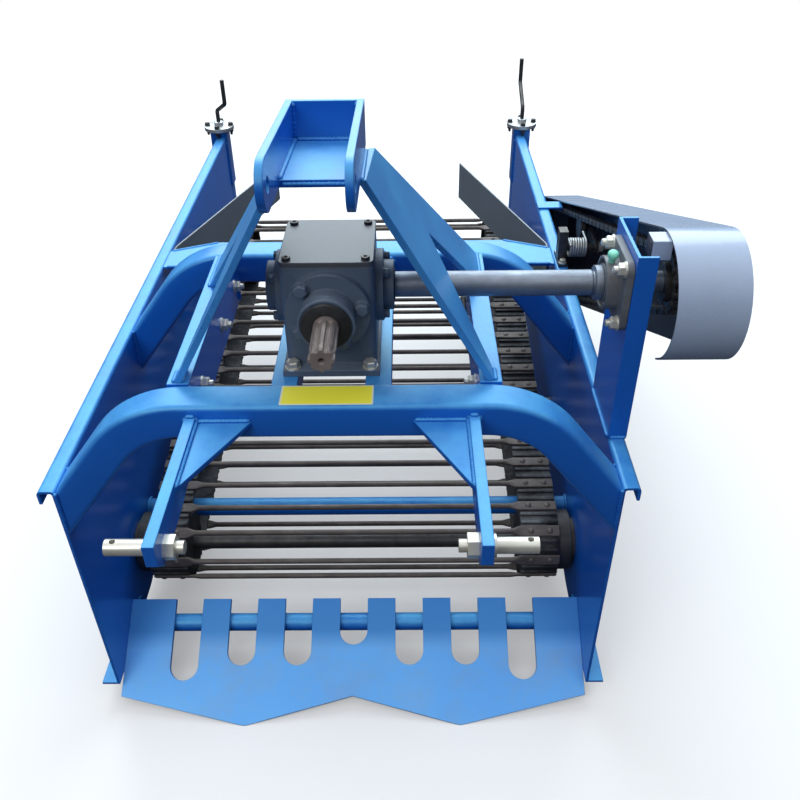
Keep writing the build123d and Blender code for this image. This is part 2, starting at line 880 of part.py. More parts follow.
def cross_plate():
    """The flat plate between the side plates behind the rear arch."""
    back = cross_plate_y + cross_plate_depth
    side_back = cross_plate_y + cross_plate_side_depth
    outline = polygon(
        (-inner_x, cross_plate_y),
        (inner_x, cross_plate_y),
        (inner_x, side_back),
        (cross_plate_corner_x, back),
        (-cross_plate_corner_x, back),
        (-inner_x, side_back),
    )
    return along_z(outline, plate_top - cross_plate_sheet, plate_top)


def deflector():
    """The right deflector: a tab on the side plate, then a sheet angled inwards."""
    start_y = cross_plate_y + cross_plate_depth
    half = deflector_sheet / 2
    line = [
        (inner_x - half, start_y - deflector_tab),
        (inner_x - half, start_y),
        (deflector_rear_x, deflector_rear_y),
    ]
    face = bent_strip(line, deflector_tab / 2, deflector_sheet)
    return along_z(face, deflector_top - deflector_height, deflector_top)


def leg_guide():
    """The fixed square tube of the right jack, on the back edge of the plate."""
    outer = Pos(leg_x, leg_y) * Rectangle(leg_tube, leg_tube)
    hole = Pos(leg_x, leg_y) * Rectangle(leg_tube - 2 * leg_tube_wall, leg_tube - 2 * leg_tube_wall)
    tube_part = along_z(outer - hole, leg_tube_foot, leg_tube_top)
    disc = Pos(leg_x, leg_y) * Circle(disc_dia / 2)
    tube_part += along_z(disc, leg_tube_top, leg_tube_top + disc_sheet)
    return tube_part


def leg():
    """The sliding square bar with the wheel's stub axle on its outer side."""
    square = Pos(leg_x, leg_y) * Rectangle(leg_bar, leg_bar)
    bar = along_z(square, wheel_z - leg_bar / 2, leg_bar_top)
    hub_end = wheel_x + wheel_hub / 2 + seat_gap
    bar += rod_x(leg_y, wheel_z, stub_dia, leg_x, hub_end)
    bar += rod_x(leg_y, wheel_z, stub_head_dia, leg_x, wheel_x - wheel_hub / 2 - seat_gap)
    return bar + rod_x(leg_y, wheel_z, stub_head_dia, hub_end, hub_end + stub_head)


def wheel():
    """The steel depth wheel: rim, disc and hub."""
    low = wheel_x - wheel_width / 2
    high = wheel_x + wheel_width / 2
    part = rod_x(leg_y, wheel_z, wheel_dia, low, high)
    part -= rod_x(leg_y, wheel_z, wheel_dia - 2 * wheel_rim, low, high)
    disc = Circle((wheel_dia - wheel_rim) / 2)
    hole_ring = (wheel_dia / 2 - wheel_rim + wheel_hub_dia / 2) / 2
    for index in range(wheel_holes):
        disc -= Rot(0, 0, 360 * index / wheel_holes) * Pos(hole_ring, 0) * Circle(wheel_hole_dia / 2)
    part += along_x(Pos(leg_y, wheel_z) * disc, wheel_x - wheel_disc / 2, wheel_x + wheel_disc / 2)
    part += rod_x(leg_y, wheel_z, wheel_hub_dia, wheel_x - wheel_hub / 2, wheel_x + wheel_hub / 2)
    return part - rod_x(leg_y, wheel_z, stub_dia + 2 * run_gap, low - overrun, high + overrun)


def crank(side, turn):
    """A bent round handle on top of a jack, its arm turned about the screw."""
    foot = leg_tube_top + disc_sheet
    bend_z = foot + crank_rise
    ahead = Vector(cos(radians(turn)), sin(radians(turn)), 0)
    start = Vector(side * leg_x, leg_y, foot)
    knee = Vector(side * leg_x, leg_y, bend_z)
    elbow = knee + ahead * crank_arm + Vector(0, 0, crank_arm_rise)
    tip = elbow + Vector(0, 0, crank_handle)
    path = FilletPolyline(start, knee, elbow, tip, radius=crank_bend)
    return sweep(Plane(origin=start, z_dir=(0, 0, 1)) * Circle(crank_dia / 2), path=path)


def idler_place():
    """Where the idler's middle is, just under the upper run of the chain."""
    offset = tooth_depth / 2 + slide_gap
    run_front, run_rear = pulley_points(
        cross_shaft_end, small_chain_radius + offset, web_rear, large_chain_radius + offset
    )[:2]
    slope = atan2(run_rear[1] - run_front[1], run_rear[0] - run_front[0])
    down = idler_dia / 2 + seat_gap
    y = tension_pivot_y + idler_back
    z = run_front[1] + (y - run_front[0]) * tan(slope) - down / cos(slope)
    return y, z


def tensioner():
    """The tensioner: its foot on the flange, pivot pin, outer arm and idler."""
    y, z = tension_pivot_y, tension_pivot_z
    idler_y, idler_z = idler_place()
    low = outer_x
    high = low + tension_block
    half = tension_block_depth / 2
    base = tension_base / 2
    part = block(low, high, y - base, y + base, plate_top, plate_top + tension_base_sheet)
    part += block(low, high, y - half, y + half, plate_top, z + tension_block_up)
    arm_low = chain_outer_x + 2 * slide_gap
    arm_high = arm_low + tension_arm
    part += rod_x(y, z, tension_pin_dia, low, arm_high)
    arm = pulley_face((y, z), tension_arm_width / 2, (idler_y, idler_z), tension_arm_width / 2)
    part += along_x(arm, arm_low, arm_high)
    part += rod_x(idler_y, idler_z, tension_pin_dia, chain_x, arm_high)
    half = sprocket_sheet / 2
    return part + rod_x(idler_y, idler_z, idler_dia, chain_x - half, chain_x + half)


def rails():
    """The two square rails under the gear case."""
    pair = []
    for x in (rail_left_x, rail_right_x):
        pair.append(
            block(x - rail_width / 2, x + rail_width / 2, tube, rear_arch_y, rail_top - rail_height, rail_top)
        )
    return pair


def coil():
    """The torsion spring round the tensioner's pin, a plain ring for each turn."""
    rings = []
    turn = Circle(coil_dia / 2) - Circle(coil_dia / 2 - coil_wire)
    for index in range(coil_turns):
        low = outer_x + tension_block + seat_gap + index * (coil_wire + seat_gap)
        rings.append(along_x(Pos(tension_pivot_y, tension_pivot_z) * turn, low, low + coil_wire))
    return rings


right_plate = side_plate()
right_member = member()
right_brace = brace()
right_bracket = lower_bracket()
right_pin = lower_pin()
right_deflector = deflector()
right_guide = leg_guide()
right_leg = leg()
right_wheel = wheel()
cross_tube = rod_x(cross_tube_y, cross_tube_z, cross_tube_dia, -inner_x, inner_x)

nodes = {
    "side_plate_right": right_plate,
    "side_plate_left": other_side(right_plate),
    "front_arch": arch(0),
    "rear_arch": arch(rear_arch_y),
    "member_right": right_member,
    "member_left": other_side(right_member),
    "gearbox_rails": rails(),
    "hitch_box": hitch_box(),
    "brace_right": right_brace,
    "brace_left": other_side(right_brace),
    "lower_bracket_right": right_bracket,
    "lower_bracket_left": other_side(right_bracket),
    "lower_pin_right": right_pin,
    "lower_pin_left": other_side(right_pin),
    "gearbox_housing": gear_case(),
    "gearbox_cover": gear_cover(),
    "input_shaft": input_shaft(),
    "output_shaft": cross_shaft(),
    "bearing_housing": bearing(),
    "bearing_post": post(),
    "drive_sprocket": sprocket(gear_axis_y, gear_axis_z, small_teeth, cross_shaft_step_dia),
    "driven_sprocket": sprocket(web_rear_y, web_rear_z, large_teeth, web_shaft_dia),
    "drive_chain": chain(),
    "chain_guard": guard(),
    "guard_bracket": guard_block(),
    "guard_stay": guard_strap(),
    "tensioner_arm": tensioner(),
    "tensioner_spring": coil(),
    "share_blade": share(),
    "share_bar": share_bar(),
    "cross_tube": cross_tube,
    "cross_plate": cross_plate(),
    "deflector_right": right_deflector,
    "deflector_left": other_side(right_deflector),
    "web_belts": web_belts(),
    "web_rods": web_rods(),
    "front_rollers": front_rollers(),
    "support_rollers": support_rollers(),
    "web_shaft": web_shaft(),
    "shaft_flanges": shaft_bearings(),
    "jack_tube_right": right_guide,
    "jack_tube_left": other_side(right_guide),
    "wheel_leg_right": right_leg,
    "wheel_leg_left": other_side(right_leg),
    "depth_wheel_right": right_wheel,
    "depth_wheel_left": other_side(right_wheel),
    "crank_right": crank(1, crank_right_turn),
    "crank_left": crank(-1, crank_left_turn),
}

# The whole machine is moved so that the origin is under the middle of its outer size
pieces = []
for shape in nodes.values():
    pieces += shape if isinstance(shape, list) else [shape]
around = Compound(children=[Compound(piece.wrapped) for piece in pieces]).bounding_box()
shift = Pos(-around.center().X, -around.center().Y, -around.min.Z)

os.makedirs("parts", exist_ok=True)
for name, shape in nodes.items():
    solids = shape if isinstance(shape, list) else [shape]
    placed = [shift * solid for solid in solids]
    whole = placed[0] if len(placed) == 1 else Compound(children=placed)
    export_step(whole, f"parts/{name}.step")
print("shift", shift.position)
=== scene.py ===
import json
import math

import bmesh
import bpy
import numpy as np
from bpy.props import FloatProperty, FloatVectorProperty, IntProperty, PointerProperty
from mathutils import Matrix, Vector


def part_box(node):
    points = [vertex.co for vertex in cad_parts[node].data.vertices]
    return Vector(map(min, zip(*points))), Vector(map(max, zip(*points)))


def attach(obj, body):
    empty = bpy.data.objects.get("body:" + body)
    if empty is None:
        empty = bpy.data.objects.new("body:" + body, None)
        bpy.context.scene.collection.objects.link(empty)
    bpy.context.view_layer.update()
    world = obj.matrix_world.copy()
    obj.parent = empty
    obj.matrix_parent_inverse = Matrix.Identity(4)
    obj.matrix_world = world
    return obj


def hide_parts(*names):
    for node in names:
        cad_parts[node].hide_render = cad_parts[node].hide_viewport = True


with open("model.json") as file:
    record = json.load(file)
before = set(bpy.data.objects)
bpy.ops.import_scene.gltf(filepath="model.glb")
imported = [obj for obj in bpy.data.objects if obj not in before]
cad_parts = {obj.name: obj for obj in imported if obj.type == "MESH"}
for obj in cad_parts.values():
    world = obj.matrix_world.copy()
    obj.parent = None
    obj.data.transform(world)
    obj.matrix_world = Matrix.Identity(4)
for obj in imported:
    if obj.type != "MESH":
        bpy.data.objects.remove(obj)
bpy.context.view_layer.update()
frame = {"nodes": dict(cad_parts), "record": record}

bl_info = {
    "name": "Carrot lifter dressing",
    "version": (1, 0, 0),
    "blender": (4, 5, 0),
    "location": "3D View > Sidebar > Lifter",
    "description": "Paints, welds and rounds off the packed carrot lifter",
    "category": "Object",
}

MM = 0.001
X_WAY, Y_WAY, Z_WAY = np.eye(3)

# In metres: how near corners are merged, and how far bare steel rounds a sharp edge; then the tint of the gloss
MERGE = 0.00002
STEEL_EDGE = 0.0008
GLOSS = (0.42, 0.92, 1.0)

# Places and sizes in millimetres: X from the middle of the web, Y from the side plates' front, Z from the floor
INNER_X, OUTER_X = 450.0, 455.0
TUBE = 60.0
ARCH_TOP = 720.0
ARCH_CORNER_X = 303.0
ARCH_BEND = 150.0
ARCH_ANGLE = math.radians(52)
REAR_ARCH_Y = 485.0
CASE_X = -6.0
CASE_HALF = 70.0
CASE_FRONT, CASE_BACK = 112.0, 258.0
CASE_TOP = 888.0
RAIL_TOP = 711.0
GEAR_Y, GEAR_Z = 187.0, 819.0
WEB_FRONT = np.array([260.0, 174.0])
WEB_REAR = np.array([1310.0, 311.0])
WEB_RADII = (62.0, 78.0)
BELT_X = (338.0, 414.0)
CHAIN_X = 526.0
ROD_LINE = 11.0
INPUT_TIP = -28.0
TENSION = (772.0, 588.0)
JACK_X, JACK_Y, JACK_TOP = 470.0, 1635.0, 576.0
HITCH_FRONT, HITCH_TOP = -102.0, 1126.0
CAMERA = np.array([113.3, -988.0, 1466.4])

# The hitch's lean in degrees, and the bolts' turn in radians
HITCH_TILT = 4.7
BOLT_TURN = 0.2

# From those places to the frame's own, in metres
SIDE_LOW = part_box("side_plate_right")[0]
OFFSET = np.array([SIDE_LOW[0] - INNER_X * MM, SIDE_LOW[1], 0.0])


def softened(rows, soft):
    """A bent line with each corner cut: a point moves to both neighbours by the softness, or 0.45 of the run."""
    rows = np.asarray(rows, float)
    before = rows[:-2] - rows[1:-1]
    after = rows[2:] - rows[1:-1]
    corner = rows[1:-1]
    back = np.linalg.norm(before, axis=1, keepdims=True)
    on = np.linalg.norm(after, axis=1, keepdims=True)
    first = corner + before / back * np.minimum(soft, 0.45 * back)
    last = corner + after / on * np.minimum(soft, 0.45 * on)
    middle = 0.5 * corner + 0.25 * (first + last)
    cut = np.stack([first, middle, last], axis=1).reshape(-1, rows.shape[1])
    return np.concatenate([rows[:1], cut, rows[-1:]])


def full_turn(count):
    """Even angles over a full turn."""
    return np.linspace(0, 2 * np.pi, count, endpoint=False)


def skin(grid, along=False, ends=True):
    """A surface over a grid of places, joined round its columns, and round its rows or closed with flat ends."""
    rows, cols = grid.shape[:2]
    index = np.arange(rows * cols).reshape(rows, cols)
    index = np.concatenate([index, index[:, :1]], axis=1)
    if along:
        index = np.concatenate([index, index[:1]], axis=0)
    quads = np.stack([index[:-1, :-1], index[:-1, 1:], index[1:, 1:], index[1:, :-1]], axis=-1)
    faces = [quads.reshape(-1, 4)]
    if ends and not along:
        faces += [index[:1, :cols], index[-1:, :cols][:, ::-1]]
    return grid.reshape(-1, 3), faces


def cross_ways(way):
    """Two unit directions square to a way and to each other."""
    way = np.asarray(way, float)
    helper = Z_WAY if abs(way[2]) < 0.9 else X_WAY
    side = np.cross(helper, way)
    side /= np.linalg.norm(side)
    return side, np.cross(way, side)


def turned(start, way, rows, soft=1.0, sides=48, closed=False):
    """A turned form: place = start + distance * way + radius * (cos a * side + sin a * up), over a full turn of a."""
    way = np.asarray(way, float)
    rows = np.asarray(rows, float)
    if closed:
        rows = softened(np.concatenate([rows[-1:], rows, rows[:1]]), soft)[1:-1]
    else:
        rows = softened(rows, soft)
    side, up = cross_ways(way)
    angle = full_turn(sides)
    ring = np.cos(angle)[:, None] * side + np.sin(angle)[:, None] * up
    grid = np.asarray(start) + rows[:, 0, None, None] * way + rows[:, 1, None, None] * ring
    return skin(grid, along=closed)


def bar(start, way, length, radius, soft, sides):
    """A round bar with softened ends."""
    return turned(start, way, [(0, 0), (0, radius), (length, radius), (length, 0)], soft, sides)


def rounded_outline(width, height, radius, steps=4):
    """A rectangle with round corners: each corner's centre plus the radius turned through a quarter."""
    quarter = np.linspace(0, np.pi / 2, steps + 1)
    signs = np.array([(1, 1), (-1, 1), (-1, -1), (1, -1)])
    centres = signs * (np.array([width, height]) / 2 - radius)
    angle = quarter[None] + (np.arange(4) * np.pi / 2)[:, None]
    arc = np.stack([np.cos(angle), np.sin(angle)], axis=-1) * radius
    return (centres[:, None] + arc).reshape(-1, 2)


def tangents(path, along):
    """Unit ways along a path, open or joined end to start."""
    if along:
        way = np.roll(path, -1, axis=0) - np.roll(path, 1, axis=0)
    else:
        way = np.gradient(path, axis=0)
    return way / np.linalg.norm(way, axis=1, keepdims=True)


def carried(path, profile, normal, along=False):
    """A profile carried along a flat path: place = path + width * (normal x tangent) + height * normal."""
    path = np.asarray(path, float)
    side = np.cross(normal, tangents(path, along))
    grid = path[:, None] + profile[None, :, :1] * side[:, None] + profile[None, :, 1:] * np.asarray(normal)
    return skin(grid, along=along)


def rounded_path(points, radius, steps):
    """A bent line whose corners are arcs: centre + radius * (cos, sin) between the two runs' touching points."""
    points = np.asarray(points, float)
    line = [points[:1]]
    for before, corner, after in zip(points[:-2], points[1:-1], points[2:]):
        to_before = (before - corner) / np.linalg.norm(before - corner)
        to_after = (after - corner) / np.linalg.norm(after - corner)
        half = math.acos(float(np.clip(to_before @ to_after, -1, 1))) / 2
        bisector = (to_before + to_after) / np.linalg.norm(to_before + to_after)
        centre = corner + bisector * radius / math.sin(half)
        first = corner + to_before * radius / math.tan(half) - centre
        last = corner + to_after * radius / math.tan(half) - centre
        whole = math.pi - 2 * half
        share = np.linspace(0, 1, steps + 1)[:, None]
        line.append(centre + (np.sin((1 - share) * whole) * first + np.sin(share * whole) * last) / math.sin(whole))
    line.append(points[-1:])
    return np.concatenate(line)


def brick(low, high, soft, corner):
    """A block with round upright corners and softened top and bottom edges: a rounded outline at four heights."""
    low, high = np.asarray(low, float), np.asarray(high, float)
    size = high - low
    middle = (low + high) / 2
    heights = (low[2], low[2] + soft, high[2] - soft, high[2])
    insets = (soft, 0.0, 0.0, soft)
    rings = []
    for height, inset in zip(heights, insets):
        flat = rounded_outline(size[0] - 2 * inset, size[1] - 2 * inset, corner)
        rings.append(np.column_stack([flat + middle[:2], np.full(len(flat), height)]))
    return skin(np.array(rings))


def slab(outline, way, low, high):
    """An outline of places pushed from one distance to another along a way, with flat faces."""
    outline = np.asarray(outline, float)
    way = np.asarray(way, float)
    return skin(np.stack([outline + way * low, outline + way * high]))


def joined(forms):
    """Several forms as one: their corners in a row, their faces counted on."""
    corners, faces, start = [], {}, 0
    for places, form_faces in forms:
        corners.append(places)
        for rows in form_faces:
            faces.setdefault(rows.shape[1], []).append(rows + start)
        start += len(places)
    return np.concatenate(corners), [np.concatenate(rows) for rows in faces.values()]


def repeated(form, turns, moves):
    """A form at many places: each corner times each turn, plus each move."""
    places, faces = form
    turns, moves = np.asarray(turns, float), np.asarray(moves, float)
    placed = np.einsum("nij,vj->nvi", turns, places) + moves[:, None]
    starts = (np.arange(len(moves)) * len(places))[:, None, None]
    return placed.reshape(-1, 3), [(rows[None] + starts).reshape(-1, rows.shape[1]) for rows in faces]


def facing(ways, spin=0.0):
    """Turns that carry the Z way to each way, with a spin about it."""
    turns = []
    for way in np.atleast_2d(np.asarray(ways, float)):
        way = way / np.linalg.norm(way)
        side, up = cross_ways(way)
        across = math.cos(spin) * side + math.sin(spin) * up
        turns.append(np.column_stack([across, np.cross(way, across), way]))
    return np.array(turns)


def tilted(leans):
    """Turns about the X way by each angle."""
    leans = np.asarray(leans, float)
    turns = np.zeros((len(leans), 3, 3))
    turns[:, 0, 0] = 1
    turns[:, 1, 1] = turns[:, 2, 2] = np.cos(leans)
    turns[:, 1, 2] = -np.sin(leans)
    turns[:, 2, 1] = np.sin(leans)
    return turns


def finish(name):
    """The material of a finish."""
    return bpy.data.materials["finish_" + name]


def settled(name, mesh, mend, material, body, stands_for, smooth):
    """An object of a mended, shaded mesh with its finish, slot, body and the nodes it stands for."""
    work = bmesh.new()
    work.from_mesh(mesh)
    bmesh.ops.remove_doubles(work, verts=work.verts, dist=MERGE)
    mend(work)
    work.to_mesh(mesh)
    work.free()
    mesh.shade_smooth()
    mesh.set_sharp_from_angle(angle=math.radians(smooth))
    mesh.materials.clear()
    mesh.materials.append(finish(material))
    thing = bpy.data.objects.new(name, mesh)
    bpy.context.scene.collection.objects.link(thing)
    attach(thing, body)
    if stands_for:
        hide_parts(*stands_for)
    return thing


def outward(work):
    """Turns every face of a mesh outwards."""
    bmesh.ops.recalc_face_normals(work, faces=work.faces)


def unfaceted(work):
    """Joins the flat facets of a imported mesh."""
    flat = math.radians(0.6)
    bmesh.ops.dissolve_limit(work, angle_limit=flat, verts=work.verts, edges=work.edges, delimit={"NORMAL"})


def piece(name, form, material, body="frame", stands_for=(), smooth=35):
    """A form in millimetres as an object in metres that rides on its body."""
    places, faces = form
    mesh = bpy.data.meshes.new(name)
    mesh.from_pydata((places * MM + OFFSET).tolist(), [], [row for rows in faces for row in rows.tolist()])
    settled(name, mesh, outward, material, body, stands_for, smooth)


def refined(node, material, body="frame", edge=0.8, smooth=32):
    """A merged copy of a CAD node with its edges rounded, for turned and bent pieces."""
    copy = frame["nodes"][node].data.copy()
    thing = settled(node + "_finish", copy, unfaceted, material, body, [node], smooth)
    bevel = thing.modifiers.new("edges", "BEVEL")
    bevel.width = edge * MM
    bevel.segments = 2
    bevel.limit_method = "ANGLE"
    bevel.angle_limit = math.radians(smooth)
    bevel.harden_normals = False


def colour_value(name, description, default):
    """A colour that the panel shows."""
    return FloatVectorProperty(
        name=name, description=description, subtype="COLOR", size=3, default=default, min=0, max=1
    )


def length_value(name, description, default, low, high):
    """A length in metres that the panel shows."""
    return FloatProperty(
        name=name, description=description, subtype="DISTANCE", unit="LENGTH", default=default, min=low, max=high
    )


def power_value(name, description, default):
    """A lamp's power in watts that the panel shows."""
    return FloatProperty(
        name=name, description=description, subtype="POWER", unit="POWER", default=default, min=0, max=5000
    )


class LifterPaint(bpy.types.PropertyGroup):
    """Colours of the finishes, as they look in plain light."""

    blue: colour_value("Blue paint", "Gloss paint of the welded frame", (0.008, 0.108, 0.50))
    gear: colour_value("Gear case", "Slate grey paint of the casting", (0.092, 0.126, 0.180))
    guard: colour_value("Chain guard", "Satin blue grey of the guard's sheet", (0.34, 0.42, 0.56))
    sheet: colour_value("Deflectors", "Dark grey of the deflectors' sheet", (0.13, 0.16, 0.19))
    label: colour_value("Label", "Yellow of the blank label", (1.0, 0.92, 0.06))
    edge_radius: length_value("Paint edge", "How far paint rounds a sharp edge", 0.0016, 0, 0.01)


class LifterSizes(bpy.types.PropertyGroup):
    """Sizes of the small things that the dressing adds."""

    tube_corner: length_value("Tube corner", "Outer corner radius of the square tubes", 0.009, 0.001, 0.02)
    weld_size: length_value("Weld bead", "Radius of the weld beads", 0.0034, 0.001, 0.01)
    chain_pitch: length_value("Chain pitch", "Distance between the chain's pins", 0.01905, 0.005, 0.05)
    rod_count: IntProperty(name="Rods", description="Rods in the web", default=44, min=8, max=90)
    belt_ribs: IntProperty(
        name="Belt ribs", description="Cross ribs on a belt between two rods", default=2, min=0, max=4
    )


class LifterStage(bpy.types.PropertyGroup):
    """The camera's lens and the lamps."""

    lens: FloatProperty(
        name="Lens", description="Focal length that fits the photograph", unit="CAMERA", default=38.13, min=10, max=200
    )
    back_lamp: power_value("Sky lamp", "Power of the wide lamp behind and above", 480)
    front_lamp: power_value("Front lamp", "Power of the soft lamp in front", 42)
    sky: FloatProperty(name="Sky", description="Strength of the plain sky light", default=0.66, min=0, max=4)


def fill(tree, made, inputs):
    """Sets or links a node's sockets, given by name or place; a plain colour gets its alpha."""
    for key, value in inputs.items():
        socket = made.inputs[key]
        if isinstance(value, bpy.types.NodeSocket):
            tree.links.new(value, socket)
        elif socket.type == "RGBA":
            socket.default_value = (*value[:3], 1)
        else:
            socket.default_value = value
    return made


def add(tree, kind, inputs=None, **settings):
    """A node of a tree with its settings, its sockets set or linked."""
    made = tree.nodes.new("ShaderNode" + kind)
    for key, value in settings.items():
        setattr(made, key, value)
    return fill(tree, made, inputs or {})


def new_group(name, inputs, outputs):
    """A shader node group with its input and output nodes."""
    tree = bpy.data.node_groups.new(name, "ShaderNodeTree")
    for label, kind, default in inputs:
        socket = tree.interface.new_socket(label, in_out="INPUT", socket_type="NodeSocket" + kind)
        socket.default_value = default
    for label, kind in outputs:
        tree.interface.new_socket(label, in_out="OUTPUT", socket_type="NodeSocket" + kind)
    return tree, tree.nodes.new("NodeGroupInput").outputs, tree.nodes.new("NodeGroupOutput")


def mixed_colour(tree, share, first, second):
    """A colour mix node, its colour sockets reached by place."""
    return add(tree, "Mix", {0: share, 6: first, 7: second}, data_type="RGBA").outputs[2]


def math_of(tree, operation, first, second, clamp=False):
    """One number worked out from two."""
    return add(tree, "Math", {0: first, 1: second}, operation=operation, use_clamp=clamp).outputs[0]


def ranged(tree, value, low, high, to_low=0.0, to_high=1.0):
    """A number carried from one range to another, held at its ends; an end may be a socket."""
    ends = {"Value": value, "From Min": low, "From Max": high, "To Min": to_low, "To Max": to_high}
    return add(tree, "MapRange", ends, clamp=True).outputs["Result"]


def noise_of(tree, scale, detail, roughness, place=None):
    """Noise over the machine's own coordinates."""
    if place is None:
        place = add(tree, "TexCoord").outputs["Object"]
    inputs = {"Vector": place, "Scale": scale, "Detail": detail, "Roughness": roughness}
    return add(tree, "TexNoise", inputs).outputs["Fac"]


def make_groups():
    """The shared effects: mottle, dust and painted sky sheen on what faces up, edge wear, orange peel and steel grain.
    """
    tree, given, out = new_group(
        "mottle",
        [
            ("Color", "Color", (1, 1, 1, 1)), ("Other", "Color", (0, 0, 0, 1)),
            ("Scale", "Float", 8), ("Amount", "Float", 0.5),
        ],
        [("Color", "Color")],
    )
    value = ranged(tree, noise_of(tree, given["Scale"], 6, 0.62), 0.32, 0.68)
    share = math_of(tree, "MULTIPLY", value, given["Amount"])
    fill(tree, out, {"Color": mixed_colour(tree, share, given["Color"], given["Other"])})

    # Dust on most finishes, a painted sky sheen on the blue ones: a tone mixed in on faces that look up, by the
    # normal's height and a noise
    tree, given, out = new_group(
        "dust_and_sheen",
        [
            ("Color", "Color", (1, 1, 1, 1)), ("Dust", "Color", (0.3, 0.25, 0.2, 1)), ("Amount", "Float", 0.3),
            ("Scale", "Float", 14), ("From", "Float", 0.46), ("Side", "Float", 0.25),
        ],
        [("Color", "Color"), ("Mask", "Float")],
    )
    lift = add(tree, "SeparateXYZ", {"Vector": add(tree, "NewGeometry").outputs["Normal"]}).outputs["Z"]
    level = ranged(tree, lift, 0.1, 0.75, given["Side"], 1.0)
    spots = ranged(tree, noise_of(tree, given["Scale"], 8, 0.7), given["From"], 0.74)
    mask = math_of(tree, "MULTIPLY", math_of(tree, "MULTIPLY", level, spots), given["Amount"], clamp=True)
    fill(tree, out, {"Color": mixed_colour(tree, mask, given["Color"], given["Dust"]), "Mask": mask})

    tree, given, out = new_group(
        "edge_wear", [("Width", "Float", 0.003), ("Scale", "Float", 60), ("Amount", "Float", 0.6)], [("Mask", "Float")]
    )
    rounded = add(tree, "Bevel", {"Radius": given["Width"]}, samples=4).outputs["Normal"]
    plain = add(tree, "NewGeometry").outputs["Normal"]
    across = add(tree, "VectorMath", {0: rounded, 1: plain}, operation="DOT_PRODUCT")
    edge = ranged(tree, across.outputs["Value"], 0.995, 0.86)
    torn = ranged(tree, noise_of(tree, given["Scale"], 5, 0.65), 0.40, 0.66)
    mask = math_of(tree, "MULTIPLY", math_of(tree, "MULTIPLY", edge, torn), given["Amount"], clamp=True)
    fill(tree, out, {"Mask": mask})

    tree, given, out = new_group("peel", [("Scale", "Float", 260), ("Depth", "Float", 1)], [("Height", "Float")])
    waves = math_of(tree, "MULTIPLY", noise_of(tree, 9, 2, 0.4), 2.5)
    both = math_of(tree, "ADD", noise_of(tree, given["Scale"], 2, 0.4), waves)
    fill(tree, out, {"Height": math_of(tree, "MULTIPLY", both, given["Depth"])})

    tree, given, out = new_group(
        "grain",
        [("Stretch", "Vector", (1, 40, 40)), ("Scale", "Float", 12), ("Low", "Float", 0.3), ("High", "Float", 0.55)],
        [("Value", "Float"), ("Roughness", "Float")],
    )
    place = add(tree, "TexCoord").outputs["Object"]
    stretched = add(tree, "VectorMath", {0: place, 1: given["Stretch"]}, operation="MULTIPLY").outputs["Vector"]
    value = noise_of(tree, given["Scale"], 5, 0.6, stretched)
    fill(tree, out, {"Value": value, "Roughness": ranged(tree, value, 0.3, 0.7, given["Low"], given["High"])})


def use(tree, name, **inputs):
    """A shared group placed in a material with its own values."""
    return add(tree, "Group", inputs, node_tree=bpy.data.node_groups[name]).outputs


def new_material(name):
    """An empty material with its Principled shader; gives the tree and the shader."""
    made = bpy.data.materials.new("finish_" + name)
    made.use_nodes = True
    tree = made.node_tree
    return tree, tree.nodes["Principled BSDF"]


def finish_shader(tree, shader, colour, roughness, height, depth, edge, metallic=0.0):
    """Links colour, roughness and relief to the shader; the relief rides on a rounded edge normal."""
    relief = {"Strength": 1.0, "Distance": depth, "Height": height}
    if edge:
        relief["Normal"] = add(tree, "Bevel", {"Radius": edge}, samples=4).outputs["Normal"]
    normal = add(tree, "Bump", relief).outputs["Normal"]
    fill(tree, shader, {"Base Color": colour, "Roughness": roughness, "Metallic": metallic, "Normal": normal})


def paint(
    name, colour, rough, wear_colour, dust_and_sheen=0.25, wear=0.5, coat=0.0, specular=0.35, peel=1.0, edge=0.0016, variety=0.35,
    tint=(1, 1, 1), dust_and_sheen_tone=(0.30, 0.31, 0.32), broad=0.46, side=0.25,
):
    """A painted finish: mottled colour, a tone on what faces up that is dust on most finishes and a painted sky sheen
    on the blue ones, worn edges and orange peel.
    """
    tree, shader = new_material(name)
    lighter = tuple(min(1, part * 1.35 + 0.004) for part in colour)
    base = use(tree, "mottle", Color=colour, Other=lighter, Scale=5.0, Amount=variety)
    with_dust_and_sheen = use(tree, "dust_and_sheen", Color=base["Color"], Dust=dust_and_sheen_tone, Amount=dust_and_sheen, Scale=9.0, From=broad, Side=side)
    worn = use(tree, "edge_wear", Width=0.0026, Scale=45.0, Amount=wear)["Mask"]
    final = mixed_colour(tree, worn, with_dust_and_sheen["Color"], wear_colour)
    roughness = ranged(tree, math_of(tree, "ADD", with_dust_and_sheen["Mask"], worn), 0.0, 1.0, rough, min(1.0, rough + 0.35))
    height = use(tree, "peel", Scale=240.0, Depth=peel)["Height"]
    finish_shader(tree, shader, final, roughness, height, 0.00007, edge)
    gloss = {"Coat Weight": coat, "Coat Roughness": 0.06, "Specular IOR Level": specular, "Specular Tint": tint}
    fill(tree, shader, gloss)


def steel(name, colour, other, low, high, stretch, metallic, relief, dust_and_sheen):
    """A bare metal: two tones, a drawn grain and a little dust."""
    tree, shader = new_material(name)
    grain = use(tree, "grain", Stretch=stretch, Scale=14.0, Low=low, High=high)
    base = use(tree, "mottle", Color=colour, Other=other, Scale=22.0, Amount=0.85)
    darker = tuple(part * 0.55 for part in colour)
    streaked = mixed_colour(tree, ranged(tree, grain["Value"], 0.35, 0.7, 0.0, 0.35), base["Color"], darker)
    with_dust_and_sheen = use(tree, "dust_and_sheen", Color=streaked, Dust=(0.25, 0.21, 0.17), Amount=dust_and_sheen, Scale=30.0)
    finish_shader(tree, shader, with_dust_and_sheen["Color"], grain["Roughness"], grain["Value"], relief, STEEL_EDGE, metallic)


